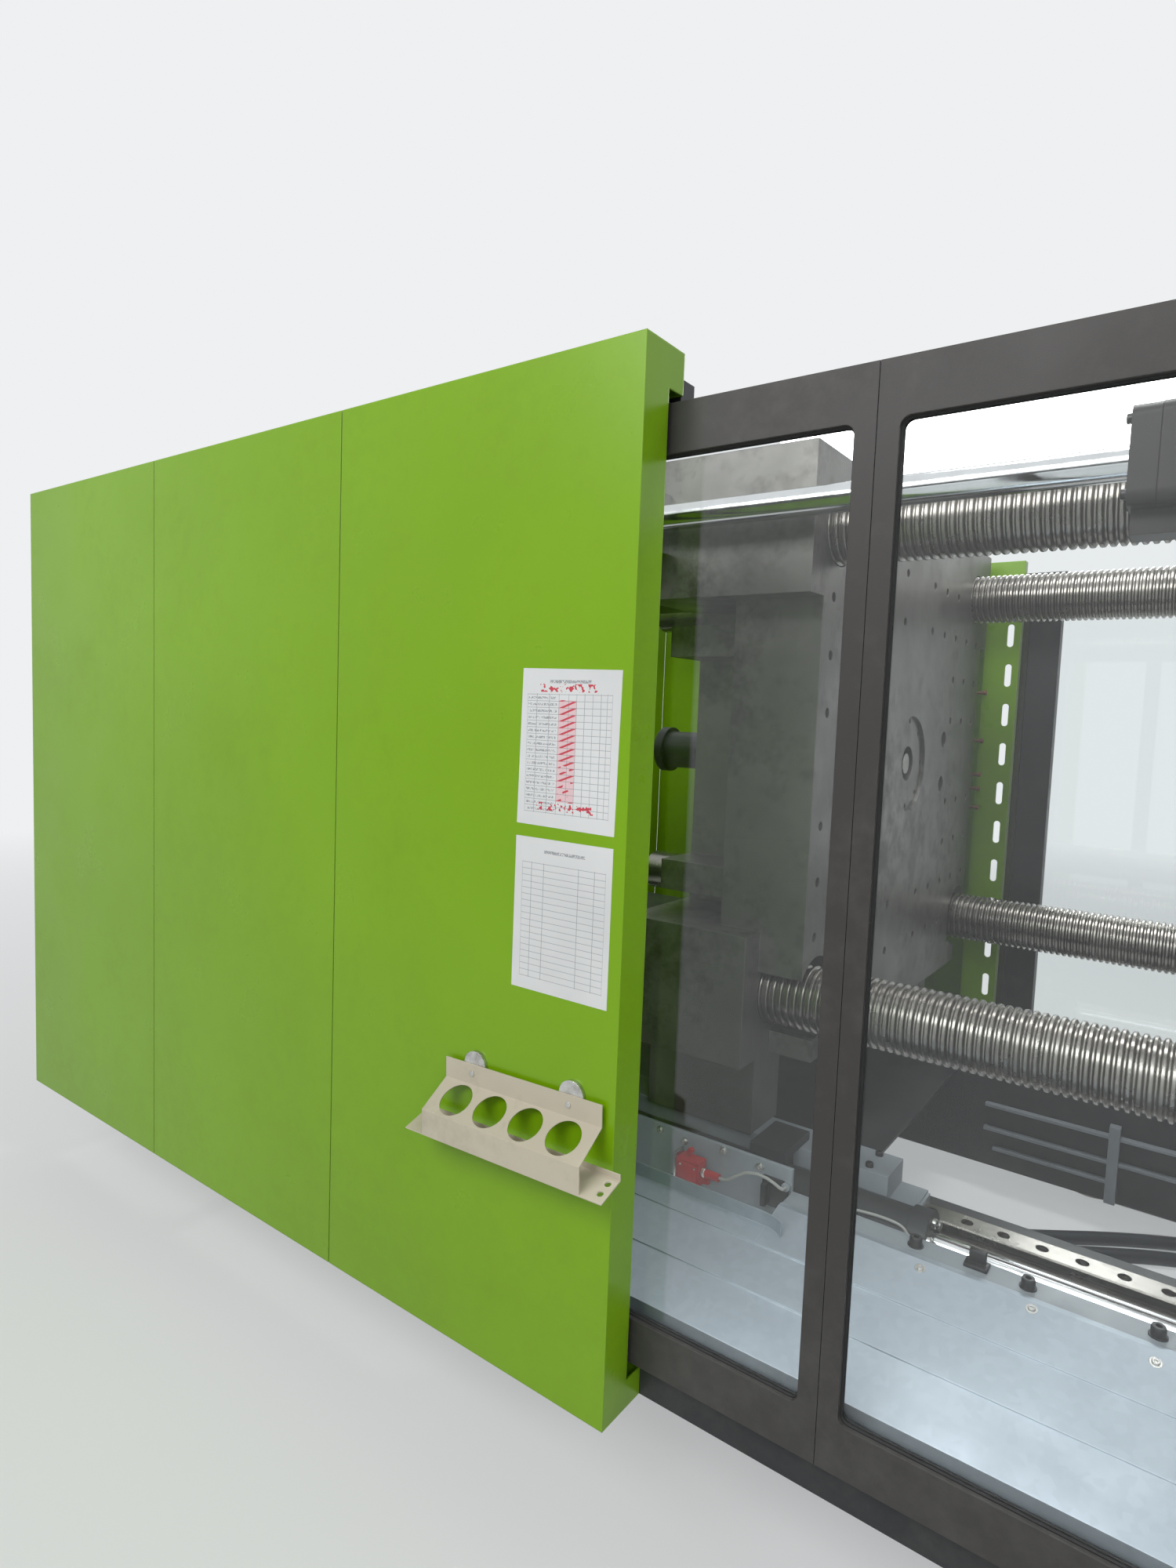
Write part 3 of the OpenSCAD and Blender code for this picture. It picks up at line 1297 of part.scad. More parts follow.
// Cabinet for the controls at the rear
module control_cabinet() {
    door_x = cabinet_left + 50;
    color(grey_blue) difference() {
        union() {
            block([cabinet_left, cabinet_near, 80], [cabinet_right, rear_face - 30, cabinet_top]);
            block([cabinet_left + 30, cabinet_near + 20, 0], [cabinet_right - 30, rear_face - 70, 81]);
        }
        block([door_x + 20, rear_face - 300, 180],
            [door_x + cabinet_door_w - 20, rear_face - 29, cabinet_top - 60]);
    }
    color(grey_blue) for (z = [cabinet_door_low - 25, cabinet_top - 40 + wear]) {
        translate([hinge_x, hinge_y, z]) cylinder(h = 25 - wear, r = hinge_r, $fn = 32);
        block([hinge_x - 4, rear_face - 31, z], [hinge_x + 4, hinge_y, z + 25 - wear]);
    }
    color(grey_blue) for (z = [cabinet_door_low - 1, cabinet_top - 70])
        translate([hinge_x, hinge_y, z]) cylinder(h = 31, r = hinge_r / 2 - rod_fit, $fn = 32);
}

// Hinged door of the cabinet
module cabinet_door() {
    door_x = cabinet_left + 50;
    y0 = rear_face - 30 + wear;
    color(grey_blue) difference() {
        union() {
            block([door_x, y0, cabinet_door_low], [door_x + cabinet_door_w, y0 + 22, cabinet_top - 40]);
            block([door_x + cabinet_door_w - 70, y0 + 21, 950],
                [door_x + cabinet_door_w - 40, y0 + 29, 1100]);
            for (z = [cabinet_door_low, cabinet_top - 140]) {
                translate([hinge_x, hinge_y, z]) cylinder(h = 100, r = hinge_r, $fn = 32);
                block([hinge_x, hinge_y - 3, z], [door_x + 1, hinge_y + 3, z + 100]);
            }
        }
        translate([hinge_x, hinge_y, cabinet_door_low - 1])
            cylinder(h = cabinet_top, r = hinge_r / 2, $fn = 32);
    }
}

// Arm on the platen cover that carries the operator panel
module panel_arm() {
    color(anthracite) {
        block([panel_x - 60, -12, panel_z - 60], [panel_x + 60, 0, panel_z + 60]);
        block([panel_x - 25, -arm_out, panel_z - 30], [panel_x + 25, -11, panel_z + 30]);
        translate([panel_x, -arm_out, panel_z - 30]) cylinder(h = 60, r = 32, $fn = 48);
        translate([panel_x, -arm_out, panel_z + 29]) cylinder(h = 61, r = 12, $fn = 48);
    }
}

// Operator panel, turning on the arm's pin
module panel_housing() {
    y1 = -arm_out - panel_back;
    z0 = panel_z - panel_h / 2;
    color(dark) difference() {
        union() {
            block([panel_x - panel_w / 2, y1 - panel_deep, z0], [panel_x + panel_w / 2, y1, z0 + panel_h]);
            translate([panel_x, -arm_out, panel_z + 30 + wear]) cylinder(h = 60, r = 30, $fn = 48);
            block([panel_x - 30, y1 - 2, panel_z + 30 + wear],
                [panel_x + 30, -arm_out, panel_z + 90 + wear]);
        }
        translate([panel_x, -arm_out, panel_z]) cylinder(h = 100, r = 12 + rod_fit, $fn = 48);
        block([panel_x - panel_w / 2 + 30, y1 - panel_deep - 1, z0 + 110],
            [panel_x + panel_w / 2 - 30, y1 - panel_deep + 8, z0 + panel_h - 30]);
        rod_y(y1 - panel_deep - 1, y1 - panel_deep + 30, panel_x + panel_w / 2 - 55, z0 + 55, 11);
    }
}

// Screen of the operator panel
module panel_screen() {
    y1 = -arm_out - panel_back - panel_deep;
    z0 = panel_z - panel_h / 2;
    color([0.06, 0.07, 0.08]) block([panel_x - panel_w / 2 + 30.3, y1 + 2, z0 + 110.3],
        [panel_x + panel_w / 2 - 30.3, y1 + 8, z0 + panel_h - 30.3]);
}

// Emergency button with its stem, drawn out
module emergency_button() {
    y1 = -arm_out - panel_back - panel_deep;
    z = panel_z - panel_h / 2 + 55;
    x = panel_x + panel_w / 2 - 55;
    color([0.8, 0.06, 0.05]) {
        rod_y(y1 - button_out, y1 - 8, x, z, button_r);
        rod_y(y1 - 9, y1 + 20, x, z, 11 - rod_fit);
    }
}

place() clamp_bed();
place() injection_bed();
place() levelling_feet();
place() guide_rails();
place() fixed_platen();
place() tie_bars();
place() tie_bar_nuts();
place() bed_ledges();
place() hose(hose_near_points);  // hose_near
place() hose(hose_far_points);  // hose_far
place() upper_cylinder();
place() lower_rods();
place() apron();
place() apron_beam();
place() front_cover_left();
place() front_cover_middle();
place() front_cover_right();
place() rear_covers();
place() end_cover();
place() front_guard_frame();
place() rear_guard_frame();
place() platen_cover();
place() interlock_switch();
place() switch_cable();
place() can_holder();
place() holder_magnets();
place() notice_sheets();
place() hydraulic_unit();
place() control_cabinet();
place() cabinet_door();
place() panel_arm();
place() panel_housing();
place() panel_screen();
place() emergency_button();
place() door_frame_left();
place() door_frame_right();
place() door_windows();
place() door_handle();
place() door_shoes();
place() rear_door_frame();
place() rear_door_window();
place() moving_platen();
place() platen_carriages();
place() lock_housings();
place() half_nuts(-1);  // half_nuts_near
place() half_nuts(1);  // half_nuts_far
place() lower_cylinders();
place() upper_rod();
place() ejector_cylinder();
place() ejector();
place() injection_carriage();
place() barrel();
place() heater_bands();
place() nozzle();
place() barrel_guard();
place() injection_cylinders();
place() crosshead();
place() screw();
place() hopper();
place() hopper_lid();
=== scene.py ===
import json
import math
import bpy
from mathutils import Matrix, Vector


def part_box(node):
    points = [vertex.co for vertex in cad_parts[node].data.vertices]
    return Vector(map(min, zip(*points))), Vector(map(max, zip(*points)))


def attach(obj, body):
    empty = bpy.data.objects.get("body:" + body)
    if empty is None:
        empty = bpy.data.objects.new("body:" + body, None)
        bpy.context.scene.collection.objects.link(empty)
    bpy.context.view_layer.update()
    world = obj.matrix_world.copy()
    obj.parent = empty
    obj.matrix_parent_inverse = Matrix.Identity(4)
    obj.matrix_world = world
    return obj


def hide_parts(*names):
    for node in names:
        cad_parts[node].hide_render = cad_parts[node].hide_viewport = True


bl_info = {
    "name": "Injection Moulding Machine",
    "version": (1, 0, 0),
    "blender": (4, 5, 0),
    "location": "3D View > Sidebar > Machine",
    "description": "Dresses the frame of a two-platen injection moulding machine",
    "category": "Object",
}

import bmesh
import bpy
from bpy.props import FloatProperty, FloatVectorProperty, PointerProperty
from mathutils import Matrix, Vector

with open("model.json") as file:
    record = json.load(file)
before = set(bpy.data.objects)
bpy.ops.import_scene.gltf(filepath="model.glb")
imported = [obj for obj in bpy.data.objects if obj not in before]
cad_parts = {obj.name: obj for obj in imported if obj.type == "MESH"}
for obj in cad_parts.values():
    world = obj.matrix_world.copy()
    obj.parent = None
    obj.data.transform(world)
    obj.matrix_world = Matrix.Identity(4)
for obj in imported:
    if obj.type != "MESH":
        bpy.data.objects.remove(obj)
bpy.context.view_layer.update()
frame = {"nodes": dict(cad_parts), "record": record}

MM = 0.001
RIGHT, LEFT, UP = Vector((1, 0, 0)), Vector((-1, 0, 0)), Vector((0, 0, 1))
FRONT, REAR = Vector((0, -1, 0)), Vector((0, 1, 0))
SIDES = (-1, 1)
SHARP_ANGLE = math.radians(32)

# The right end and the face of the front covers, from which the machine's own places are counted
COVER_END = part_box("front_cover_right")[1].x
COVER_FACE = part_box("front_cover_right")[0].y

# Lines that several pieces share, in millimetres: the bars' middle and the bars, the rails'
# distance from that middle, and the heater bands on the barrel
CENTRE_Y, CENTRE_Z = 1465.0, 1445.0
BARS = [(CENTRE_Y + side * 645, CENTRE_Z + rise * 557.5) for side in SIDES for rise in SIDES]
RAIL_OFFSET = 650
BAND_STARTS = [1600 + i * 225 for i in range(7)]


def spot(x, y, z):
    """A place of the machine, in millimetres from the covers' end, their face and the floor."""
    return Vector((COVER_END + x * MM, COVER_FACE + y * MM, z * MM))


# Materials


def new_group(name, inputs, outputs):
    """A shader node group with named sockets; gives the group and its two end nodes."""
    group = bpy.data.node_groups.new(name, "ShaderNodeTree")
    for label, kind, value in inputs:
        socket = group.interface.new_socket(label, in_out="INPUT", socket_type=kind)
        if value is not None:
            socket.default_value = value
    for label, kind in outputs:
        group.interface.new_socket(label, in_out="OUTPUT", socket_type=kind)
    return group, group.nodes.new("NodeGroupInput"), group.nodes.new("NodeGroupOutput")


def add(tree, kind, **values):
    """A node with its properties and its input sockets' values set by name."""
    node = tree.nodes.new(kind)
    for key, value in values.items():
        if hasattr(node, key):
            setattr(node, key, value)
        else:
            node.inputs[key.replace("_", " ")].default_value = value
    return node


def named(sockets, identifier):
    """The one of a node's sockets that has an identifier."""
    return next(socket for socket in sockets if socket.identifier == identifier)


def feed(tree, value, socket):
    """Links a socket to another one, or sets it where the value is a number or a colour."""
    if isinstance(value, bpy.types.NodeSocket):
        tree.links.new(value, socket)
    else:
        socket.default_value = (*value, 1.0) if isinstance(value, tuple) else value


def calc(tree, operation, *values):
    """A math node over one to three values, each a number or a socket."""
    node = add(tree, "ShaderNodeMath", operation=operation)
    for socket, value in zip(node.inputs, values):
        feed(tree, value, socket)
    return node.outputs["Value"]


def mixed(tree, mask, under, over):
    """Colour under, with colour over where the mask is 1. Each may be a value or a socket."""
    mix = add(tree, "ShaderNodeMix", data_type="RGBA")
    for label, value in (("A_Color", under), ("B_Color", over), ("Factor_Float", mask)):
        feed(tree, value, named(mix.inputs, label))
    return named(mix.outputs, "Result_Color")


def remap(tree, value, low, high, to_low=0.0, to_high=1.0):
    """Spreads a value from one range over another and clamps it there."""
    node = add(tree, "ShaderNodeMapRange", From_Min=low, From_Max=high, To_Min=to_low,
               To_Max=to_high)
    tree.links.new(value, node.inputs["Value"])
    return node.outputs["Result"]


def ramp(tree, source, stops):
    """A colour ramp over a value, from (position, colour or grey) stops."""
    node = tree.nodes.new("ShaderNodeValToRGB")
    while len(node.color_ramp.elements) < len(stops):
        node.color_ramp.elements.new(0.5)
    for element, (place, shade) in zip(node.color_ramp.elements, stops):
        element.position = place
        tone = (shade, shade, shade) if isinstance(shade, (int, float)) else shade
        element.color = (*tone, 1.0)
    tree.links.new(source, node.inputs["Fac"])
    return node.outputs["Color"]


def noise(tree, place, scale, detail=3.0, roughness=0.55):
    """The value of a noise over a place."""
    node = add(tree, "ShaderNodeTexNoise", Scale=scale, Detail=detail, Roughness=roughness)
    tree.links.new(place, node.inputs["Vector"])
    return node.outputs["Fac"]


def drift(tree, place, dark, light, scale, detail=3.0, roughness=0.55, full=0.7):
    """A tone that wanders between dark and light; full is the noise at which it is light."""
    return ramp(tree, noise(tree, place, scale, detail, roughness), [(0.3, dark), (full, light)])


def own_place(tree):
    """The place on the piece itself, in metres."""
    return tree.nodes.new("ShaderNodeTexCoord").outputs["Object"]


def split(tree, place):
    """The X, Y and Z of a place."""
    apart = tree.nodes.new("ShaderNodeSeparateXYZ")
    tree.links.new(place, apart.inputs["Vector"])
    return apart.outputs


def soft_edge_group():
    """Rounds the edges in the shading and marks them."""
    group, start, end = new_group(
        "Soft edge",
        [("Radius", "NodeSocketFloat", 0.002)],
        [("Normal", "NodeSocketVector"), ("Edge", "NodeSocketFloat")],
    )
    link = group.links.new
    level, steep = 0.995, 0.85
    bevel = add(group, "ShaderNodeBevel", samples=4)
    shape = group.nodes.new("ShaderNodeNewGeometry")
    dot = add(group, "ShaderNodeVectorMath", operation="DOT_PRODUCT")
    link(start.outputs["Radius"], bevel.inputs["Radius"])
    link(bevel.outputs["Normal"], dot.inputs[0])
    link(shape.outputs["Normal"], dot.inputs[1])
    link(bevel.outputs["Normal"], end.inputs["Normal"])
    link(remap(group, dot.outputs["Value"], level, steep), end.inputs["Edge"])
    return group


def grime_group():
    """Blotches of dust and oil, thicker near the floor where that is asked."""
    group, start, end = new_group(
        "Grime",
        [
            ("Scale", "NodeSocketFloat", 4.0),
            ("Amount", "NodeSocketFloat", 0.5),
            ("Low end", "NodeSocketFloat", 0.0),
        ],
        [("Mask", "NodeSocketFloat")],
    )
    link = group.links.new
    fine_times = 7.0
    clean_height, splash_height, splash = 0.9, 0.3, 0.14
    none, full = 0.24, 0.42
    place = own_place(group)
    cloud = add(group, "ShaderNodeTexNoise", Detail=6.0, Roughness=0.62)
    fine = add(group, "ShaderNodeTexNoise", Detail=4.0, Roughness=0.7)
    link(place, cloud.inputs["Vector"])
    link(place, fine.inputs["Vector"])
    link(start.outputs["Scale"], cloud.inputs["Scale"])
    link(calc(group, "MULTIPLY", start.outputs["Scale"], fine_times), fine.inputs["Scale"])
    both = calc(group, "MULTIPLY", cloud.outputs["Fac"], fine.outputs["Fac"])
    low = remap(group, split(group, place)["Z"], clean_height, splash_height, 0.0, splash)
    near_floor = calc(group, "MULTIPLY", low, start.outputs["Low end"])
    mask = remap(group, calc(group, "ADD", both, near_floor), none, full)
    link(calc(group, "MULTIPLY", mask, start.outputs["Amount"]), end.inputs["Mask"])
    return group


def grain_group():
    """Fine relief such as powder coat, orange peel or cast skin."""
    group, start, end = new_group(
        "Grain",
        [
            ("Scale", "NodeSocketFloat", 400.0),
            ("Strength", "NodeSocketFloat", 0.1),
            ("Normal", "NodeSocketVector", None),
        ],
        [("Normal", "NodeSocketVector")],
    )
    link = group.links.new
    fine = add(group, "ShaderNodeTexNoise", Detail=2.0)
    bump = add(group, "ShaderNodeBump", Distance=0.0006)
    link(own_place(group), fine.inputs["Vector"])
    link(start.outputs["Scale"], fine.inputs["Scale"])
    link(fine.outputs["Fac"], bump.inputs["Height"])
    link(start.outputs["Strength"], bump.inputs["Strength"])
    link(start.outputs["Normal"], bump.inputs["Normal"])
    link(bump.outputs["Normal"], end.inputs["Normal"])
    return group


# The shared effects, built once and kept by name
GROUPS = {}


def use(tree, name, **values):
    """Places a shared effect in a material with its own values, and builds it the first time."""
    makers = {"Soft edge": soft_edge_group, "Grime": grime_group, "Grain": grain_group}
    if name not in GROUPS:
        GROUPS[name] = makers[name]()
    node = tree.nodes.new("ShaderNodeGroup")
    node.node_tree = GROUPS[name]
    for key, value in values.items():
        node.inputs[key.replace("_", " ")].default_value = value
    return node


def shaded(colour, factor, lift=0.0):
    """A colour made darker or lighter."""
    return tuple(min(1.0, part * factor + lift) for part in colour)


def blank(name, metallic, roughness):
    """A material with only a Principled shader; gives material, tree and shader."""
    material = bpy.data.materials.new(name)
    material.use_nodes = True
    shader = material.node_tree.nodes["Principled BSDF"]
    shader.inputs["Metallic"].default_value = metallic
    shader.inputs["Roughness"].default_value = roughness
    return material, material.node_tree, shader


def finish_surface(tree, shader, place, roughness, edge, grain):
    """Joins soft edges, grain as (scale, strength) and a roughness that varies in its range."""
    round_edge = use(tree, "Soft edge", Radius=edge)
    relief = use(tree, "Grain", Scale=grain[0], Strength=grain[1])
    tree.links.new(round_edge.outputs["Normal"], relief.inputs["Normal"])
    tree.links.new(relief.outputs["Normal"], shader.inputs["Normal"])
    smear = noise(tree, place, 6.0, 5.0, 0.6)
    tree.links.new(remap(tree, smear, 0.3, 0.7, *roughness), shader.inputs["Roughness"])
    return round_edge.outputs["Edge"]


def paint(name, colour, dust, roughness, edge=0.003, grain=(260.0, 0.08), low_end=0.0,
          dust_amount=0.35, coat=0.0):
    """Painted sheet or casting with a little tone change, dust and worn edges."""
    material, tree, shader = blank(name, 0.0, roughness[0])
    place = own_place(tree)
    edges = finish_surface(tree, shader, place, roughness, edge, grain)
    variation = 0.06
    dark, light = shaded(colour, 1.0 - variation), shaded(colour, 1.0 + variation)
    tone = drift(tree, place, dark, light, 1.3, 4.0)
    grime = use(tree, "Grime", Scale=3.0, Amount=dust_amount, Low_end=low_end)
    dusty = mixed(tree, grime.outputs["Mask"], tone, dust)
    worn = shaded(colour, 1.25, 0.02)
    tree.links.new(mixed(tree, edges, dusty, worn), shader.inputs["Base Color"])
    shader.inputs["Coat Weight"].default_value = coat
    shader.inputs["Coat Roughness"].default_value = 0.12
    shader.inputs["Specular IOR Level"].default_value = 0.35
    return material


def steel(name, light, dark, roughness=(0.25, 0.4), stain=(0.12, 0.1, 0.08), stain_amount=0.5,
          lines=0.0, line_axis="X", scale=5.0, metallic=0.9, edge=0.0015, grain=(300.0, 0.06)):
    """Bare steel with oil stains and, where asked, fine tool lines across an axis."""
    material, tree, shader = blank(name, metallic, roughness[0])
    place = own_place(tree)
    finish_surface(tree, shader, place, roughness, edge, grain)
    tone = drift(tree, place, dark, light, scale, 6.0, 0.65, full=0.68)
    if lines:
        line_share = 0.4
        wave = add(tree, "ShaderNodeTexWave", Scale=lines, Distortion=0.6, Detail=1.0,
                   bands_direction=line_axis)
        tree.links.new(place, wave.inputs["Vector"])
        streak = ramp(tree, wave.outputs["Fac"], [(0.0, shaded(light, 0.8)), (1.0, light)])
        tone = mixed(tree, line_share, tone, streak)
    grime = use(tree, "Grime", Scale=scale, Amount=stain_amount)
    stained = mixed(tree, grime.outputs["Mask"], tone, stain)
    tree.links.new(stained, shader.inputs["Base Color"])
    return material


def sheet_metal(name, light, dark):
    """Zinc coated sheet with faint spangles and rubbed edges."""
    material, tree, shader = blank(name, 0.55, 0.4)
    place = own_place(tree)
    edges = finish_surface(tree, shader, place, (0.32, 0.5), 0.001, (200.0, 0.05))
    spangle_scale, spangle_share, rubbed = 70.0, 0.35, (0.8, 0.84, 0.88)
    cells = add(tree, "ShaderNodeTexVoronoi", Scale=spangle_scale)
    tree.links.new(place, cells.inputs["Vector"])
    spangle = ramp(tree, cells.outputs["Color"], [(0.2, dark), (0.8, light)])
    tone = mixed(tree, spangle_share, drift(tree, place, dark, light, 2.5, 5.0), spangle)
    tree.links.new(mixed(tree, edges, tone, rubbed), shader.inputs["Base Color"])
    return material


def chrome(name):
    """Ground and plated rod with a thin film of oil."""
    material, tree, shader = blank(name, 1.0, 0.08)
    place = own_place(tree)
    tone = drift(tree, place, (0.72, 0.73, 0.74), (0.86, 0.87, 0.88), 9.0, 5.0)
    tree.links.new(tone, shader.inputs["Base Color"])
    film = ramp(tree, noise(tree, place, 24.0, 4.0), [(0.35, 0.06), (0.75, 0.22)])
    tree.links.new(film, shader.inputs["Roughness"])
    return material


def blend(tree, mask, under, over, output):
    """Ends a tree in one shader, with another where the mask is 1."""
    mix = tree.nodes.new("ShaderNodeMixShader")
    tree.links.new(mask, mix.inputs["Fac"])
    tree.links.new(under, mix.inputs[1])
    tree.links.new(over, mix.inputs[2])
    tree.links.new(mix.outputs["Shader"], output.inputs["Surface"])


def clear(name):
    """Clear pane with faint smears, lit through by lamps."""
    material, tree, shader = blank(name, 0.0, 0.02)
    feed(tree, (0.93, 0.96, 0.96), shader.inputs["Base Color"])
    shader.inputs["Transmission Weight"].default_value = 1.0
    shader.inputs["IOR"].default_value = 1.46
    smear = ramp(tree, noise(tree, own_place(tree), 3.0, 8.0, 0.7), [(0.45, 0.0), (0.8, 0.06)])
    tree.links.new(smear, shader.inputs["Roughness"])
    through = tree.nodes.new("ShaderNodeBsdfTransparent")
    feed(tree, (0.93, 0.95, 0.95), through.inputs["Color"])
    shadow = tree.nodes.new("ShaderNodeLightPath").outputs["Is Shadow Ray"]
    blend(tree, shadow, shader.outputs["BSDF"], through.outputs["BSDF"],
          tree.nodes["Material Output"])
    return material


def plastic(name, colour, roughness=0.4, variation=0.08):
    """Moulded plastic or rubber with fine grain."""
    material, tree, shader = blank(name, 0.0, roughness)
    place = own_place(tree)
    finish_surface(tree, shader, place, (roughness, roughness + 0.12), 0.001, (900.0, 0.1))
    tone = drift(tree, place, shaded(colour, 1.0 - variation), colour, 12.0, 4.0)
    tree.links.new(tone, shader.inputs["Base Color"])
    return material


def form_paper(name):
    """The two ruled sheets, of which the upper one has a shaded column with red ticks."""
    material, tree, shader = blank(name, 0.0, 0.4)
    width, tall, pitch, between = 0.216, 0.279, 0.302, 0.291
    row_count = 24
    pink, black, red = (0.85, 0.42, 0.46), (0.2, 0.21, 0.24), (0.6, 0.04, 0.07)

    def do(operation, *values):
        return calc(tree, operation, *values)

    def within(value, low, high):
        return do("COMPARE", value, (low + high) / 2, (high - low) / 2)

    def joined(operation, masks):
        total = masks[0]
        for mask in masks[1:]:
            total = do(operation, total, mask)
        return total

    def either(*masks):
        return joined("MAXIMUM", masks)

    def both(*masks):
        return joined("MULTIPLY", masks)

    # Shares of a sheet's width from its left edge and of its height from its lower edge
    place = own_place(tree)
    apart = split(tree, place)
    corner = spot(-239, 0, 1052)
    across = do("DIVIDE", do("SUBTRACT", apart["X"], corner.x), width)
    height = do("SUBTRACT", apart["Z"], corner.z)
    upper = do("GREATER_THAN", height, between)
    up = do("DIVIDE", do("SUBTRACT", height, do("MULTIPLY", upper, pitch)), tall)

    inside = both(within(across, 0.07, 0.93), within(up, 0.08, 0.84))
    row = do("FRACT", do("MULTIPLY", up, row_count))
    lines = do("LESS_THAN", row, 0.07)
    columns = either(*[within(across, c - 0.0025, c + 0.0025)
                       for c in (0.07, 0.17, 0.3, 0.66, 0.82, 0.93)])
    fine_columns = both(upper, either(*[within(across, c - 0.002, c + 0.002)
                                        for c in (0.4, 0.5, 0.58, 0.74, 0.88)]))
    speckle = noise(tree, place, 420.0, 2.0)
    marks = both(upper, within(across, 0.08, 0.38), within(row, 0.35, 0.7), inside,
                 do("GREATER_THAN", speckle, 0.5))
    title = both(within(across, 0.3, 0.72), within(up, 0.905, 0.925),
                 do("GREATER_THAN", speckle, 0.44))
    ink = either(both(inside, either(lines, columns, fine_columns)), marks, title)

    shade = both(upper, within(across, 0.4, 0.58), within(up, 0.16, 0.8))
    slant = do("SUBTRACT", row, do("MULTIPLY", do("SUBTRACT", across, 0.42), 7.0))
    row_chance = noise(tree, place, 60.0, 0.0)
    ticks = both(shade, within(slant, -0.16, 0.16), do("GREATER_THAN", row_chance, 0.4))
    scribble = both(upper, within(across, 0.2, 0.78),
                    either(within(up, 0.85, 0.9), within(up, 0.1, 0.15)),
                    do("GREATER_THAN", noise(tree, place, 150.0, 1.0), 0.56))

    tone = drift(tree, place, (0.72, 0.73, 0.73), (0.82, 0.83, 0.83), 5.0)
    tinted = mixed(tree, do("MULTIPLY", shade, 0.55), tone, pink)
    printed = mixed(tree, do("MULTIPLY", ink, 0.75), tinted, black)
    tree.links.new(mixed(tree, either(ticks, scribble), printed, red), shader.inputs["Base Color"])
    shader.inputs["Coat Weight"].default_value = 0.5
    return material


def build_materials(looks):
    """All finishes, by the record's slot names, and a few more for added pieces."""
    return {
        "green_paint": paint("Green powder coat", looks.green, (0.14, 0.2, 0.01), (0.26, 0.36),
                             edge=0.004, grain=(700.0, 0.05), low_end=0.5, dust_amount=0.14,
                             coat=0.05),
        "dark_paint": paint("Dark guard coat", looks.frame, (0.36, 0.35, 0.32), (0.4, 0.5),
                            edge=0.002, grain=(900.0, 0.18), low_end=0.3, dust_amount=0.06),
        "black_paint": paint("Black machine paint", (0.026, 0.028, 0.031), (0.12, 0.115, 0.105),
                             (0.38, 0.52), low_end=0.4, dust_amount=0.22),
        "grey_paint": paint("Grey machine paint", (0.30, 0.33, 0.36), (0.16, 0.15, 0.14),
                            (0.3, 0.5), low_end=0.2, dust_amount=0.3),
        "beige_paint": paint("Beige enamel", (0.62, 0.56, 0.44), (0.3, 0.26, 0.2), (0.3, 0.5),
                             edge=0.0008, grain=(500.0, 0.08)),
        "platen_steel": steel("Milled platen", (0.27, 0.265, 0.25), (0.13, 0.125, 0.115),
                              (0.32, 0.5), stain=(0.05, 0.045, 0.04), stain_amount=0.75,
                              lines=26.0, line_axis="Y", scale=2.2, metallic=0.8, edge=0.003),
        "bar_steel": steel("Turned steel", (0.4, 0.38, 0.35), (0.25, 0.235, 0.215), (0.2, 0.32),
                           stain=(0.09, 0.08, 0.07), stain_amount=0.25, scale=6.0, metallic=0.95,
                           edge=0.0002, grain=(900.0, 0.01)),
        "hopper_sheet": steel("Brushed stainless", (0.66, 0.67, 0.68), (0.5, 0.51, 0.52),
                              stain=(0.4, 0.4, 0.4), stain_amount=0.15, lines=60.0, line_axis="Z",
                              scale=2.0, metallic=0.95, edge=0.002),
        "magnet_metal": steel("Plated magnet", (0.72, 0.72, 0.7), (0.5, 0.5, 0.48), (0.15, 0.3)),
        "screw_black": steel("Black oxide screw", (0.09, 0.09, 0.095), (0.04, 0.04, 0.045),
                             (0.3, 0.45)),
        "screw_zinc": steel("Zinc screw", (0.7, 0.7, 0.68), (0.5, 0.5, 0.48), (0.2, 0.35)),
        "ferrule_steel": steel("Plated ferrule", (0.6, 0.57, 0.48), (0.42, 0.4, 0.33)),
        "rusty_bolt": steel("Rusty bolt", (0.34, 0.16, 0.07), (0.17, 0.075, 0.035), (0.5, 0.7),
                            metallic=0.3),
        "galvanised": sheet_metal("Zinc coated sheet", (0.46, 0.52, 0.58), (0.38, 0.43, 0.485)),
        "chrome_rod": chrome("Chromed rod"),
        "clear_pane": clear("Clear guard pane"),
        "paper_white": form_paper("Ruled sheet"),
        "screen_glass": plastic("Screen glass", (0.012, 0.014, 0.018), 0.08),
        "switch_red": plastic("Red housing", (0.55, 0.03, 0.035), 0.35),
        "cable_grey": plastic("Grey sheath", (0.42, 0.42, 0.4), 0.45),
        "shoe_plastic": plastic("Black slide plastic", (0.02, 0.02, 0.02), 0.45),
        "hose_rubber": plastic("Hose cover", (0.035, 0.042, 0.055), 0.45, 0.4),
        "seal_rubber": plastic("Seal rubber", (0.018, 0.018, 0.019), 0.6),
        "key_plastic": plastic("Panel key", (0.42, 0.44, 0.46)),
    }


# The finishes by slot name, filled by the operator that builds them
MATERIALS = {}


def dress_nodes():
    """Gives each node of the frame the finish of its slot."""
    for entry in frame["record"]["subparts"]:
        data = frame["nodes"][entry["node"]].data
        data.materials.clear()
        data.materials.append(MATERIALS[entry["material_slot"]])


# Meshes. Radii, profiles, bevels and typed corners are in millimetres. Centres and the points
# of a route are places in the scene.


def add_piece(name, data, body):
    """Puts a finished mesh into the scene as a piece that rides on a body."""
    data.set_sharp_from_angle(angle=SHARP_ANGLE)
    piece = bpy.data.objects.new(name, data)
    bpy.context.scene.collection.objects.link(piece)
    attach(piece, body)
    return piece


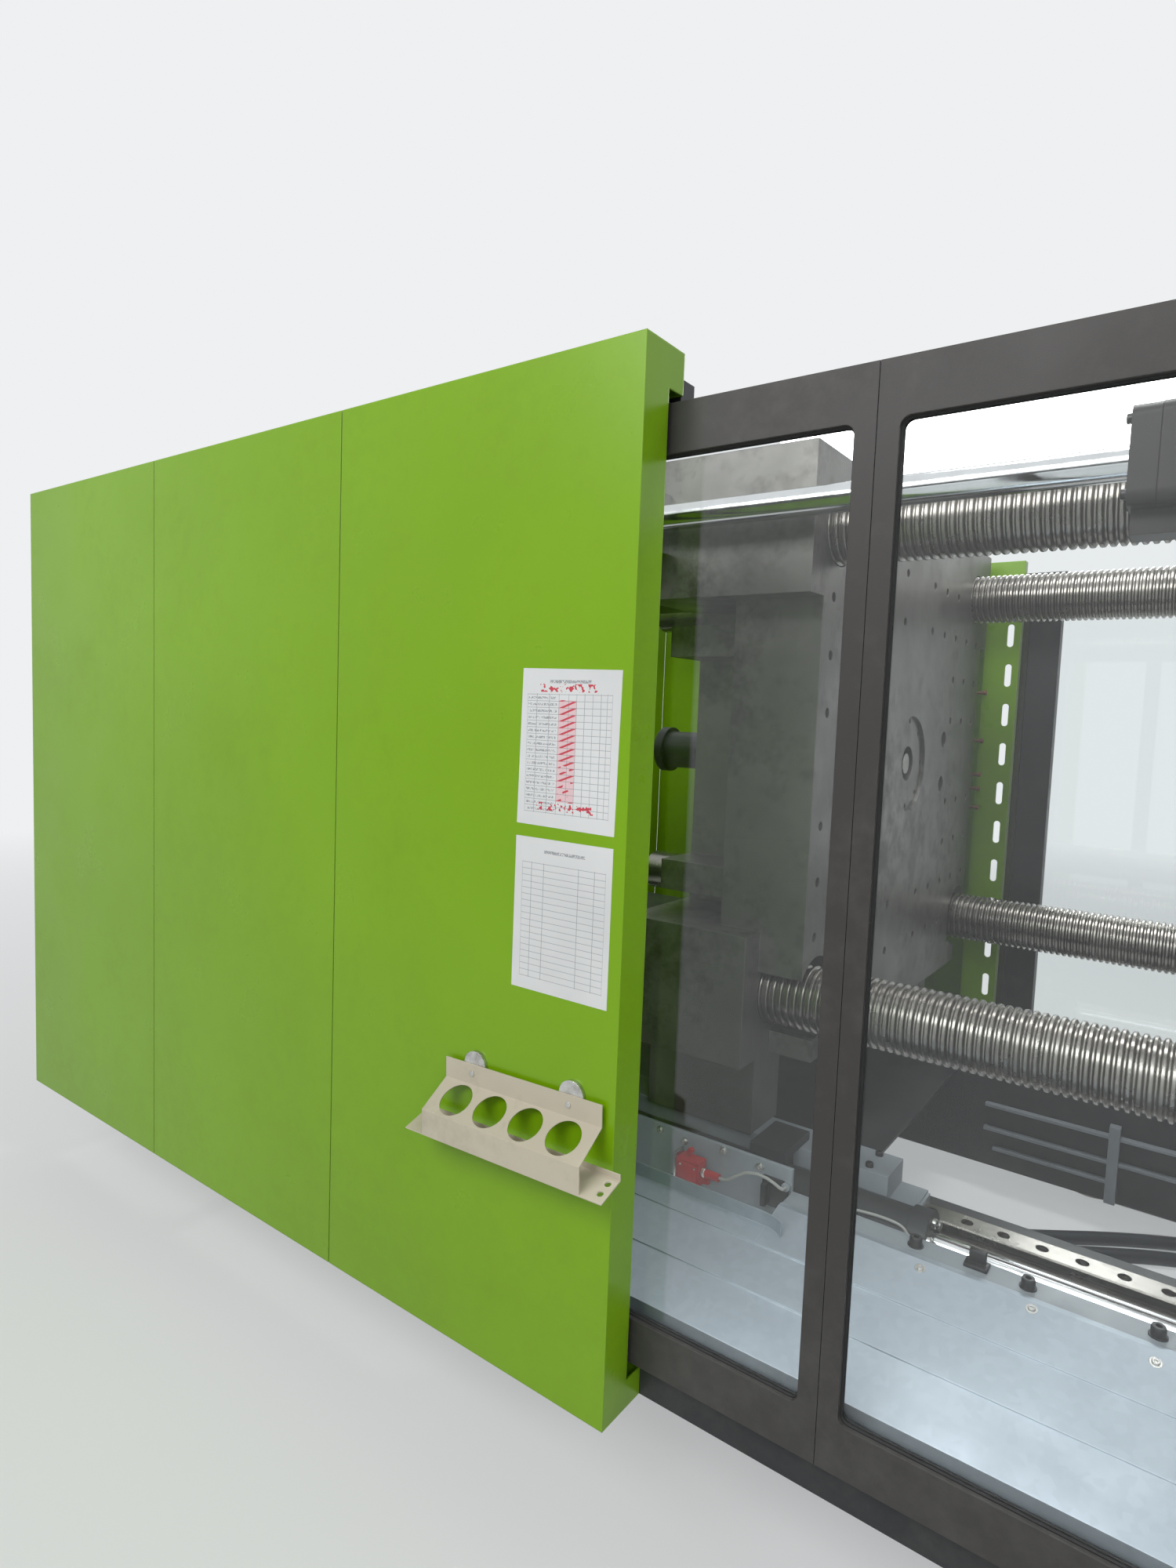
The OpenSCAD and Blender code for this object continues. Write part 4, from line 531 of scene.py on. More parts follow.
def finish_mesh(bm, name, finish, body):
    """Turns a bmesh into a smooth piece in its finish."""
    bmesh.ops.recalc_face_normals(bm, faces=bm.faces)
    data = bpy.data.meshes.new(name)
    bm.to_mesh(data)
    bm.free()
    for face in data.polygons:
        face.use_smooth = True
    data.materials.append(MATERIALS[finish])
    return add_piece(name, data, body)


def ring(bm, centre, side, other, radius, count):
    """A round of vertices in the plane of two directions; its radius is in metres."""
    turns = [math.tau * i / count for i in range(count)]
    return [bm.verts.new(centre + side * (radius * math.cos(a)) + other * (radius * math.sin(a)))
            for a in turns]


def skin(bm, rings):
    """Closes a row of rings into a solid."""
    count = len(rings[0])
    for low, high in zip(rings, rings[1:]):
        for i in range(count):
            j = (i + 1) % count
            bm.faces.new((low[i], low[j], high[j], high[i]))
    bm.faces.new(rings[0])
    bm.faces.new(list(reversed(rings[-1])))


def lathe(bm, profile, centre, axis, count=24):
    """A turned solid: profile holds (radius, distance along the axis) pairs."""
    side = axis.orthogonal().normalized()
    other = axis.cross(side)
    skin(bm, [ring(bm, centre + axis * (along * MM), side, other, radius * MM, count)
              for radius, along in profile])


def sweep(bm, route, radius, count):
    """A round bar along a route."""
    ahead = [(b - a).normalized() for a, b in zip(route, route[1:])]
    ahead.append(ahead[-1])
    side = ahead[0].orthogonal().normalized()
    rings = []
    for place, way in zip(route, ahead):
        side = (side - way * side.dot(way)).normalized()
        rings.append(ring(bm, place, side, way.cross(side), radius * MM, count))
    skin(bm, rings)


def smooth_route(places, steps):
    """Points of a smooth curve through the given places, with so many steps to a span."""
    points = [spot(*place) for place in places]
    last = len(points) - 1
    route = []
    for i in range(last):
        before, start, end = points[max(i - 1, 0)], points[i], points[i + 1]
        after = points[min(i + 2, last)]
        for k in range(steps):
            t = k / steps
            route.append(0.5 * (2 * start + (end - before) * t
                                + (2 * before - 5 * start + 4 * end - after) * t ** 2
                                + (3 * start - before - 3 * end + after) * t ** 3))
    route.append(points[last])
    return route


def bevel_block(bm, low, high, bevel):
    """A block with bevelled edges, between two corners."""
    low, high = spot(*low), spot(*high)
    made = bmesh.ops.create_cube(bm, size=1.0)["verts"]
    bmesh.ops.scale(bm, vec=high - low, verts=made)
    bmesh.ops.translate(bm, vec=(low + high) / 2, verts=made)
    edges = list({edge for vert in made for edge in vert.link_edges})
    bmesh.ops.bevel(bm, geom=edges, offset=bevel * MM, segments=2, profile=0.5, affect="EDGES")


def block_piece(name, finish, body, *blocks):
    """A piece of bevelled blocks, each given by its corners and its bevel."""
    bm = bmesh.new()
    for low, high, bevel in blocks:
        bevel_block(bm, low, high, bevel)
    return finish_mesh(bm, name, finish, body)


def turned_piece(name, finish, body, profile, centres, axis, count):
    """A piece of like turned shapes."""
    bm = bmesh.new()
    for centre in centres:
        lathe(bm, profile, centre, axis, count)
    return finish_mesh(bm, name, finish, body)


def swept_piece(name, finish, body, routes, radius, count):
    """A piece of like bars along routes."""
    bm = bmesh.new()
    for route in routes:
        sweep(bm, route, radius, count)
    return finish_mesh(bm, name, finish, body)


# Geometry Nodes


def node_tree(name, inputs):
    """An empty geometry tree with a geometry in and out and named inputs."""
    tree = bpy.data.node_groups.new(name, "GeometryNodeTree")
    tree.interface.new_socket("Geometry", in_out="INPUT", socket_type="NodeSocketGeometry")
    for label, kind, value in inputs:
        socket = tree.interface.new_socket(label, in_out="INPUT", socket_type=kind)
        if value is not None:
            socket.default_value = value
    tree.interface.new_socket("Geometry", in_out="OUTPUT", socket_type="NodeSocketGeometry")
    return tree, tree.nodes.new("NodeGroupInput").outputs, tree.nodes.new("NodeGroupOutput")


def along_axis(tree, value, label):
    """A vector with a value along one axis and nothing along the others."""
    vector = tree.nodes.new("ShaderNodeCombineXYZ")
    tree.links.new(value, vector.inputs[label])
    return vector.outputs["Vector"]


def lifted(tree, geometry, height):
    """Moves a geometry along Z."""
    move = tree.nodes.new("GeometryNodeTransform")
    tree.links.new(geometry, move.inputs["Geometry"])
    tree.links.new(along_axis(tree, height, "Z"), move.inputs["Translation"])
    return move.outputs["Geometry"]


def turned(tree, angle, label):
    """A rotation about one axis."""
    turn = tree.nodes.new("FunctionNodeEulerToRotation")
    tree.links.new(along_axis(tree, angle, label), turn.inputs["Euler"])
    return turn.outputs["Rotation"]


def finish_tree(tree, points, piece, rotation, finish, end):
    """Puts a piece on each point and ends a tree with real geometry in its material."""
    link = tree.links.new
    put = tree.nodes.new("GeometryNodeInstanceOnPoints")
    real = tree.nodes.new("GeometryNodeRealizeInstances")
    dressed = tree.nodes.new("GeometryNodeSetMaterial")
    link(points, put.inputs["Points"])
    link(piece, put.inputs["Instance"])
    link(rotation, put.inputs["Rotation"])
    link(put.outputs["Instances"], real.inputs["Geometry"])
    link(real.outputs["Geometry"], dressed.inputs["Geometry"])
    link(finish, dressed.inputs["Material"])
    link(dressed.outputs["Geometry"], end.inputs["Geometry"])


def screw_tree():
    """Puts a chamfered head with a hexagon socket and a washer on each point, along its axis."""
    tree, given, end = node_tree("Screws", [
        ("Head radius", "NodeSocketFloat", 0.012),
        ("Head height", "NodeSocketFloat", 0.012),
        ("Head sides", "NodeSocketInt", 32),
        ("Socketed", "NodeSocketBool", True),
        ("Socket radius", "NodeSocketFloat", 0.007),
        ("Washer radius", "NodeSocketFloat", 0.015),
        ("Washer height", "NodeSocketFloat", 0.002),
        ("Seed", "NodeSocketInt", 3),
        ("Finish", "NodeSocketMaterial", None),
    ])
    link = tree.links.new
    chamfered, socket_lift = (0.88, 0.88, 1.0), 0.45

    head = add(tree, "GeometryNodeMeshCylinder", Side_Segments=5)
    link(given["Head sides"], head.inputs["Vertices"])
    link(given["Head radius"], head.inputs["Radius"])
    link(given["Head height"], head.inputs["Depth"])
    place = tree.nodes.new("GeometryNodeInputPosition")
    drawn = add(tree, "ShaderNodeVectorMath", operation="MULTIPLY")
    drawn.inputs[1].default_value = chamfered
    link(place.outputs["Position"], drawn.inputs[0])
    chamfer = tree.nodes.new("GeometryNodeSetPosition")
    link(head.outputs["Mesh"], chamfer.inputs["Geometry"])
    link(head.outputs["Top"], chamfer.inputs["Selection"])
    link(drawn.outputs["Vector"], chamfer.inputs["Position"])

    socket = add(tree, "GeometryNodeMeshCylinder", Vertices=6)
    link(given["Socket radius"], socket.inputs["Radius"])
    link(given["Head height"], socket.inputs["Depth"])
    socket_height = calc(tree, "MULTIPLY", given["Head height"], socket_lift)
    raised = lifted(tree, socket.outputs["Mesh"], socket_height)
    bore = add(tree, "GeometryNodeMeshBoolean", operation="DIFFERENCE", solver="EXACT")
    link(chamfer.outputs["Geometry"], named(bore.inputs, "Mesh 1"))
    link(raised, named(bore.inputs, "Mesh 2"))
    choice = add(tree, "GeometryNodeSwitch", input_type="GEOMETRY")
    link(given["Socketed"], choice.inputs["Switch"])
    link(chamfer.outputs["Geometry"], choice.inputs["False"])
    link(bore.outputs["Mesh"], choice.inputs["True"])

    washer = add(tree, "GeometryNodeMeshCylinder", Vertices=32, Side_Segments=2)
    link(given["Washer radius"], washer.inputs["Radius"])
    link(given["Washer height"], washer.inputs["Depth"])
    half_head = calc(tree, "MULTIPLY", given["Head height"], 0.5)
    half_washer = calc(tree, "MULTIPLY", given["Washer height"], 0.5)
    on_washer = calc(tree, "ADD", half_head, given["Washer height"])
    whole = tree.nodes.new("GeometryNodeJoinGeometry")
    link(lifted(tree, choice.outputs["Output"], on_washer), whole.inputs["Geometry"])
    link(lifted(tree, washer.outputs["Mesh"], half_washer), whole.inputs["Geometry"])

    axis = add(tree, "GeometryNodeInputNamedAttribute", data_type="FLOAT_VECTOR", Name="axis")
    stand = add(tree, "FunctionNodeAlignRotationToVector", axis="Z")
    link(named(axis.outputs, "Attribute"), stand.inputs["Vector"])
    chance = add(tree, "FunctionNodeRandomValue", data_type="FLOAT")
    named(chance.inputs, "Max_001").default_value = math.tau
    link(given["Seed"], named(chance.inputs, "Seed"))
    spin = add(tree, "FunctionNodeRotateRotation", rotation_space="LOCAL")
    link(stand.outputs["Rotation"], spin.inputs["Rotation"])
    link(turned(tree, named(chance.outputs, "Value_001"), "Z"), spin.inputs["Rotate By"])
    finish_tree(tree, given["Geometry"], whole.outputs["Geometry"], spin.outputs["Rotation"],
                given["Finish"], end)
    return tree


def plate_tree():
    """Puts a chamfered, tilted plate on each point of a grid of columns and rows."""
    tree, given, end = node_tree("Plates", [
        ("Columns", "NodeSocketInt", 4),
        ("Rows", "NodeSocketInt", 2),
        ("Width", "NodeSocketFloat", 0.2),
        ("Height", "NodeSocketFloat", 0.1),
        ("Plate size", "NodeSocketVector", (0.02, 0.02, 0.004)),
        ("Tilt", "NodeSocketFloat", 0.0),
        ("Crown", "NodeSocketFloat", 0.002),
        ("Finish", "NodeSocketMaterial", None),
    ])
    link = tree.links.new
    crown_share = 0.84
    grid = tree.nodes.new("GeometryNodeMeshGrid")
    for label, socket in (("Width", "Size X"), ("Height", "Size Y"),
                          ("Columns", "Vertices X"), ("Rows", "Vertices Y")):
        link(given[label], grid.inputs[socket])
    plate = tree.nodes.new("GeometryNodeMeshCube")
    link(given["Plate size"], plate.inputs["Size"])
    normal = tree.nodes.new("GeometryNodeInputNormal").outputs["Normal"]
    push = tree.nodes.new("GeometryNodeExtrudeMesh")
    link(plate.outputs["Mesh"], push.inputs["Mesh"])
    link(calc(tree, "GREATER_THAN", split(tree, normal)["Z"], 0.5), push.inputs["Selection"])
    link(given["Crown"], push.inputs["Offset Scale"])
    narrow = add(tree, "GeometryNodeScaleElements", Scale=crown_share)
    link(push.outputs["Mesh"], narrow.inputs["Geometry"])
    link(push.outputs["Top"], narrow.inputs["Selection"])
    finish_tree(tree, grid.outputs["Mesh"], narrow.outputs["Geometry"],
                turned(tree, given["Tilt"], "X"), given["Finish"], end)
    return tree


# The trees, built once and kept by the function that makes them
TREES = {}


def grown(name, body, maker, carrier, settings, stand=None):
    """Runs a tree on a carrier mesh and keeps the result as a plain piece on a body."""
    if maker not in TREES:
        TREES[maker] = maker()
    tree = TREES[maker]
    holder = bpy.data.objects.new(name + "_carrier", carrier)
    bpy.context.scene.collection.objects.link(holder)
    modifier = holder.modifiers.new("Tree", "NODES")
    modifier.node_group = tree
    for item in tree.interface.items_tree:
        if item.item_type == "SOCKET" and item.in_out == "INPUT" and item.name in settings:
            modifier[item.identifier] = settings[item.name]
    bpy.context.view_layer.update()
    ready = holder.evaluated_get(bpy.context.evaluated_depsgraph_get())
    data = bpy.data.meshes.new_from_object(ready)
    holder.modifiers.remove(modifier)
    bpy.data.objects.remove(holder)
    if not data.polygons:
        raise RuntimeError(name + " came out empty")
    data.name = name
    if stand is not None:
        data.transform(stand)
    return add_piece(name, data, body)


def screws(name, body, finish, seats, head, height, washer=0.0, sides=32, socket=0.5):
    """A group of like screws on (place, axis) seats; socket is its share of the head's radius."""
    washer_height, hidden_height, hidden_share = 2.4, 0.2, 0.9
    carrier = bpy.data.meshes.new(name + "_seats")
    carrier.from_pydata([tuple(place) for place, axis in seats], [], [])
    layer = carrier.attributes.new("axis", "FLOAT_VECTOR", "POINT")
    for item, (place, axis) in zip(layer.data, seats):
        item.vector = axis
    return grown(name, body, screw_tree, carrier, {
        "Head radius": head * MM,
        "Head height": height * MM,
        "Head sides": sides,
        "Socketed": socket > 0,
        "Socket radius": max(socket * head, 1.0) * MM,
        "Washer radius": max(washer, head * hidden_share) * MM,
        "Washer height": (washer_height if washer else hidden_height) * MM,
        "Finish": MATERIALS[finish],
    })


def plates(name, body, finish, columns, rows, spread, size, place, normal, tilt=0.0):
    """A grid of like crowned plates over a spread, which stands at a place and faces a normal."""
    across = UP.cross(normal)
    turn = Matrix((across, UP, normal)).transposed()
    stand = Matrix.Translation(spot(*place)) @ turn.to_4x4()
    crown = 2
    return grown(name, body, plate_tree, bpy.data.meshes.new(name + "_grid"), {
        "Columns": columns,
        "Rows": rows,
        "Width": spread[0] * MM,
        "Height": spread[1] * MM,
        "Plate size": [part * MM for part in size],
        "Tilt": tilt,
        "Crown": crown * MM,
        "Finish": MATERIALS[finish],
    }, stand)


def round_seats(centre, axis, radius, count, start=0.0):
    """Seats of a bolt circle about an axis along X."""
    x, y, z = centre
    turns = [start + math.tau * i / count for i in range(count)]
    return [(spot(x, y + radius * math.cos(a), z + radius * math.sin(a)), axis) for a in turns]


# Scene


PALE = (0.86, 0.87, 0.88)
LENS_PLACE = (818.8, -1223.7, 1553.5)
# Each lamp's place, what it is aimed at, its width in metres and its power in watts
LAMPS = {
    "key_lamp": ((-900, -3600, 4200), (-900, 300, 1100), 3.4, 118.0),
    "fill_lamp": ((3600, -2600, 3400), (500, 900, 1100), 2.6, 42.0),
    "mould_lamp": ((500, 1400, 4400), (450, 1500, 1200), 1.6, 45.0),
    "rear_lamp": ((-1000, 6000, 4200), (-600, 1500, 1100), 3.2, 110.0),
}


def seen_rays(tree):
    """1 on the rays that show the background: from the camera, off metal and through glass."""
    paths = tree.nodes.new("ShaderNodeLightPath").outputs
    looked = calc(tree, "MAXIMUM", paths["Is Camera Ray"], paths["Is Glossy Ray"])
    return calc(tree, "MAXIMUM", looked, paths["Is Transmission Ray"])


class MachineLooks(bpy.types.PropertyGroup):
    """Colours and sizes a user would change."""

    green: FloatVectorProperty(name="Cover colour", description="Paint of the covers",
                               subtype="COLOR", default=(0.215, 0.43, 0.002), min=0.0, max=1.0)
    frame: FloatVectorProperty(name="Door colour", description="Paint of the door frames",
                               subtype="COLOR", default=(0.05, 0.047, 0.045), min=0.0, max=1.0)
    floor_tone: FloatProperty(name="Floor tone", description="Brightness of the studio floor",
                              default=0.82, min=0.2, max=1.0)
    floor_size: FloatProperty(name="Floor", description="Half the width of the studio floor",
                              subtype="DISTANCE", unit="LENGTH", default=30.0, min=10.0, max=100.0)


class MachineCamera(bpy.types.PropertyGroup):
    """The camera's lens and direction."""

    lens: FloatProperty(name="Lens", description="Focal length in millimetres", default=20.47,
                        min=10, max=60)
    turn: FloatProperty(name="Turn", description="Heading to the left of the rear", subtype="ANGLE",
                        default=math.radians(36.4))
    tilt: FloatProperty(name="Tilt", description="Upward tilt", subtype="ANGLE",
                        default=math.radians(-4.43))
    roll: FloatProperty(name="Roll", description="Roll about the view", subtype="ANGLE",
                        default=math.radians(2.16))


class MACHINE_OT_stage(bpy.types.Operator):
    """Builds the camera, the floor and the lights"""

    bl_idname = "machine.stage"
    bl_label = "Stage"

    def execute(self, context):
        scene = context.scene
        self.camera(scene, scene.machine_camera)
        self.floor(scene, scene.machine_looks)
        self.backdrop(scene)
        for name, settings in LAMPS.items():
            self.lamp(scene, name, *settings)
        scene.view_settings.view_transform = "Standard"
        return {"FINISHED"}

    def camera(self, scene, view):
        """The camera at the photograph's place and angle."""
        level = math.cos(view.tilt)
        forward = Vector((-math.sin(view.turn) * level, math.cos(view.turn) * level,
                          math.sin(view.tilt)))
        right = Vector((math.cos(view.turn), math.sin(view.turn), 0.0))
        up = right.cross(forward)
        turned_right = right * math.cos(view.roll) + up * math.sin(view.roll)
        turned_up = up * math.cos(view.roll) - right * math.sin(view.roll)
        data = bpy.data.cameras.new("Camera")
        data.sensor_fit = "VERTICAL"
        data.sensor_height = 36.0
        data.lens = view.lens
        data.clip_start, data.clip_end = 0.05, 200.0
        camera = bpy.data.objects.new("Camera", data)
        scene.collection.objects.link(camera)
        turn = Matrix((turned_right, turned_up, -forward)).transposed()
        camera.matrix_world = Matrix.Translation(spot(*LENS_PLACE)) @ turn.to_4x4()
        scene.camera = camera

    def floor(self, scene, looks):
        """A pale floor that fades into the backdrop with the distance, and keeps the shadow."""
        near, far, near_share = 4.0, 12.0, 0.45
        dull = 0.97
        material, tree, shader = blank("Studio floor", 0.0, 0.7)
        place = own_place(tree)
        tone = ramp(tree, noise(tree, place, 0.8),
                    [(0.2, looks.floor_tone * dull), (0.8, looks.floor_tone)])
        tree.links.new(tone, shader.inputs["Base Color"])
        reach = add(tree, "ShaderNodeVectorMath", operation="LENGTH")
        tree.links.new(place, reach.inputs[0])
        fade = remap(tree, reach.outputs["Value"], near, far, near_share)
        glow = tree.nodes.new("ShaderNodeEmission")
        feed(tree, PALE, glow.inputs["Color"])
        blend(tree, calc(tree, "MULTIPLY", fade, seen_rays(tree)), shader.outputs["BSDF"],
              glow.outputs["Emission"], tree.nodes["Material Output"])
        bm = bmesh.new()
        bmesh.ops.create_grid(bm, x_segments=8, y_segments=8, size=looks.floor_size)
        data = bpy.data.meshes.new("studio_floor")
        bm.to_mesh(data)
        bm.free()
        data.materials.append(material)
        floor = bpy.data.objects.new("studio_floor", data)
        scene.collection.objects.link(floor)

    def backdrop(self, scene):
        """A soft world light that shows as a pale backdrop."""
        world = bpy.data.worlds.new("Studio")
        world.use_nodes = True
        scene.world = world
        tree = world.node_tree
        light = tree.nodes["Background"]
        feed(tree, (0.8, 0.83, 0.86), light.inputs["Color"])
        light.inputs["Strength"].default_value = 0.3
        seen = tree.nodes.new("ShaderNodeBackground")
        feed(tree, PALE, seen.inputs["Color"])
        blend(tree, seen_rays(tree), light.outputs["Background"], seen.outputs["Background"],
              tree.nodes["World Output"])

    def lamp(self, scene, name, place, target, width, power):
        """A soft rectangular lamp, wider than it is deep."""
        depth_share = 0.55
        data = bpy.data.lights.new(name, "AREA")
        data.shape = "RECTANGLE"
        data.size, data.size_y = width, width * depth_share
        data.energy = power
        lamp = bpy.data.objects.new(name, data)
        scene.collection.objects.link(lamp)
        aim = (spot(*target) - spot(*place)).to_track_quat("-Z", "Y")
        lamp.matrix_world = Matrix.Translation(spot(*place)) @ aim.to_matrix().to_4x4()


class MACHINE_OT_finishes(bpy.types.Operator):
    """Builds the materials and dresses the frame's nodes"""

    bl_idname = "machine.finishes"
    bl_label = "Finishes"

    def execute(self, context):
        MATERIALS.update(build_materials(context.scene.machine_looks))
        dress_nodes()
        return {"FINISHED"}


# The hoses' places from the fitting in the clamp bed to the one in the injection bed
HOSE_RADIUS, HOSE_LOW = 20, 20.2
HOSE_NEAR = [(-120, 1012, 230), (-120, 1040, 230), (-110, 1085, 190), (-90, 1135, 125),
             (-55, 1190, 60), (-5, 1250, 24), (60, 1315, 21), (180, 1420, 21), (320, 1545, 21),
             (460, 1655, 21), (600, 1755, 21), (760, 1855, 21), (900, 1900, 21), (1060, 1910, 21),
             (1220, 1880, 21), (1340, 1825, 22), (1430, 1780, 48), (1510, 1750, 110),
             (1570, 1730, 180), (1620, 1722, 235), (1650, 1720, 250), (1668, 1720, 250)]
HOSE_FAR = [(-350, 1012, 230), (-350, 1040, 230), (-342, 1085, 190), (-325, 1135, 125),
            (-295, 1190, 60), (-245, 1245, 24), (-170, 1305, 21), (-20, 1410, 21), (200, 1565, 21),
            (410, 1715, 21), (600, 1857, 21), (756, 1955, 21), (900, 2020, 21), (1060, 2040, 21),
            (1200, 2020, 21), (1320, 1965, 22), (1420, 1910, 48), (1500, 1875, 110),
            (1565, 1852, 180), (1620, 1842, 235), (1650, 1840, 250), (1668, 1840, 250)]
NUT_PROFILE = ((32, 0), (34, 2), (34, 18), (32, 20))


class MACHINE_OT_hoses(bpy.types.Operator):
    """Lays the two hoses between their fittings, with nuts and crimped ferrules"""

    bl_idname = "machine.hoses"
    bl_label = "Hoses"

    def execute(self, context):
        nut_gap, nut_length = 4, 20
        ferrules, nuts = bmesh.new(), bmesh.new()
        for node, places in (("hose_near", HOSE_NEAR), ("hose_far", HOSE_FAR)):
            route = smooth_route(places, 4)
            for place in route:
                place.z = max(place.z, HOSE_LOW * MM)
            hose = swept_piece(node + "_cover", "hose_rubber", "machine", [route], HOSE_RADIUS, 20)
            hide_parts(node)
            lathe(ferrules, self.ferrule_profile(32), route[0], REAR, 32)
            lathe(ferrules, self.ferrule_profile(22), route[-1], LEFT, 32)
            lathe(nuts, NUT_PROFILE, route[0] - REAR * (nut_gap + nut_length) * MM, REAR, 6)
            lathe(nuts, NUT_PROFILE, route[-1] + RIGHT * nut_gap * MM, RIGHT, 6)
        finish_mesh(ferrules, "hose_ferrules", "ferrule_steel", "machine")
        finish_mesh(nuts, "hose_nuts", "screw_zinc", "machine")
        return {"FINISHED"}

    def ferrule_profile(self, length):
        """The outline of a ferrule with a crimp every 7 mm."""
        bore, ridge, groove, pitch = 20.6, 23.4, 22.0, 7
        profile = [(bore, 0)]
        along = 1
        while along < length - pitch:
            profile += [(ridge, along), (ridge, along + pitch - 2), (groove, along + pitch - 1)]
            along += pitch
        return profile + [(ridge, along), (bore, length)]


class MACHINE_OT_screws(bpy.types.Operator):
    """Puts in the cap screws, washers, bolts and nuts"""

    bl_idname = "machine.screws"
    bl_label = "Screws"

    def execute(self, context):
        self.guard_and_bed()
        self.clamp()
        self.injection()
        return {"FINISHED"}

    def guard_and_bed(self):
        screws("beam_screws", "machine", "screw_black",
               [(spot(x, 515, 549), UP) for x in range(172, 1000, 200)], 12, 16, 15)
        apron_slope = Vector((0, -0.287, 0.958))
        screws("apron_screws", "machine", "screw_zinc",
               [(spot(*place), apron_slope)
                for place in ((589, 455, 546.2), (774, 445, 543.2), (400, 450, 544.6))], 6, 3, 10)
        rail_end, bore_pitch, bore_floor = 1000, 75, 450
        screws("rail_screws", "machine", "screw_black",
               [(spot(rail_end - i * bore_pitch, CENTRE_Y + side * RAIL_OFFSET, bore_floor), UP)
                for side in SIDES for i in range(29)], 11.5, 11)
        clamp_feet, clamp_foot_offset = (-2050, -1250, -250, 500, 1120, 1560), 745
        injection_feet, injection_foot_offset = (2000, 3650, 5300), 475
        foot_top = 60
        feet = [(x, CENTRE_Y + side * offset)
                for stations, offset in ((clamp_feet, clamp_foot_offset),
                                         (injection_feet, injection_foot_offset))
                for side in SIDES for x in stations]
        screws("foot_nuts", "machine", "screw_zinc",
               [(spot(x, y, foot_top), UP) for x, y in feet], 46, 22, 52, 6, 0)
        screws("recess_screws", "machine", "screw_zinc",
               [(spot(x, 536.6, z), FRONT)
                for x, z in ((-227, 585), (-160, 579), (-60, 590), (30, 582))], 6, 4, 9)

    def clamp(self):
        screws("bar_nut_screws", "machine", "screw_black",
               [seat for y, z in BARS for seat in round_seats((1600, y, z), RIGHT, 106, 6)], 14, 12)
        screws("cylinder_cap_screws", "machine", "screw_black",
               [(spot(622, 590 + dy, 2020 + dz), LEFT) for dy in (-48, 48) for dz in (-62, 62)],
               9, 9)
        flanges = [(356, CENTRE_Y + side * 768, 462) for side in SIDES]
        screws("lower_flange_screws", "clamp_carriage", "screw_zinc",
               [seat for centre in flanges
                for seat in round_seats(centre, RIGHT, 44, 6, math.pi / 6)], 10.5, 10)
        screws("ring_screws", "clamp_carriage", "screw_black",
               round_seats((1, CENTRE_Y, CENTRE_Z), RIGHT, 126, 8), 6.4, 6)
        screws("lock_housing_screws", "clamp_carriage", "screw_black",
               [(spot(-730, y + dy, z + dz), LEFT) for y, z in BARS for dy in (-148, 148)
                for dz in (-126, 126)], 14, 14, 18)
        screws("ejector_flange_screws", "clamp_carriage", "screw_black",
               round_seats((-460, CENTRE_Y, CENTRE_Z), LEFT, 79, 8), 9, 9)
        screws("rod_bracket_screws", "clamp_carriage", "screw_black",
               [(spot(-390, 538, z), FRONT) for z in (1970, 2070)], 15, 15, 19)
        screws("carriage_screws", "clamp_carriage", "screw_black",
               [(spot(x, CENTRE_Y + side * RAIL_OFFSET + dy, 540), UP)
                for side in SIDES for x in (110, 190) for dy in (-34, 34)], 9, 10)

    def injection(self):
        hopper_x, foot_top, bolt_radius = 3480, 1661, 96
        places = [(hopper_x + bolt_radius * math.cos(a), CENTRE_Y + bolt_radius * math.sin(a))
                  for a in (i * math.pi / 3 for i in range(6))]
        screws("hopper_foot_bolts", "injection_unit", "screw_zinc",
               [(spot(x, y, foot_top), UP) for x, y in places], 10, 8, 12, 6, 0)
        screws("band_screws", "injection_unit", "screw_zinc",
               [(spot(start + dx, CENTRE_Y - 22, 1595), FRONT)
                for start in BAND_STARTS for dx in (62, 123)], 7, 7, 10)
        screws("crosshead_screws", "screw_drive", "screw_black",
               round_seats((4400, CENTRE_Y, CENTRE_Z), LEFT, 150, 8), 10, 10)


class MACHINE_OT_guards(bpy.types.Operator):
    """Adds the seals round the doors' panes and the slotted post's pins"""

    bl_idname = "machine.guards"
    bl_label = "Guards"

    def execute(self, context):
        front_panes = [self.window(x0, x1, y) for x0, x1 in ((-450, 349.5), (350.5, 1150))
                       for y in (96, 106)]
        self.seals("front_window_seals", "front_door", front_panes)
        pin = ((4.5, 0), (6, 2), (6, 30), (8.5, 31), (8.5, 40), (7, 42))
        turned_piece("post_pins", "rusty_bolt", "machine", pin,
                     [spot(-22, 2347, z) for z in (1691, 1512, 1385, 1332, 1261)], RIGHT, 20)
        rear_pane = [self.window(110, 1120, y) for y in (2451, 2461)]
        self.seals("rear_window_seal", "rear_door", rear_pane)
        return {"FINISHED"}

    def seals(self, name, body, routes):
        cord_radius = 3.2
        swept_piece(name, "seal_rubber", body, routes, cord_radius, 8)

    def window(self, frame_start, frame_end, y):
        """The route round the window of a door frame, with rounded corners."""
        frame_low, frame_high = 379, 2080
        stile, rail, radius, steps = 33, 84, 16, 5
        left, right = frame_start + stile + radius, frame_end - stile - radius
        low, high = frame_low + rail + radius, frame_high - rail - radius
        route = []
        for quarter, (x, z) in enumerate(((right, high), (left, high), (left, low), (right, low))):
            for step in range(steps + 1):
                angle = math.pi / 2 * (quarter + step / steps)
                route.append(spot(x + radius * math.cos(angle), y, z + radius * math.sin(angle)))
        route.append(route[0] + (route[1] - route[0]) * 0.5)
        return route


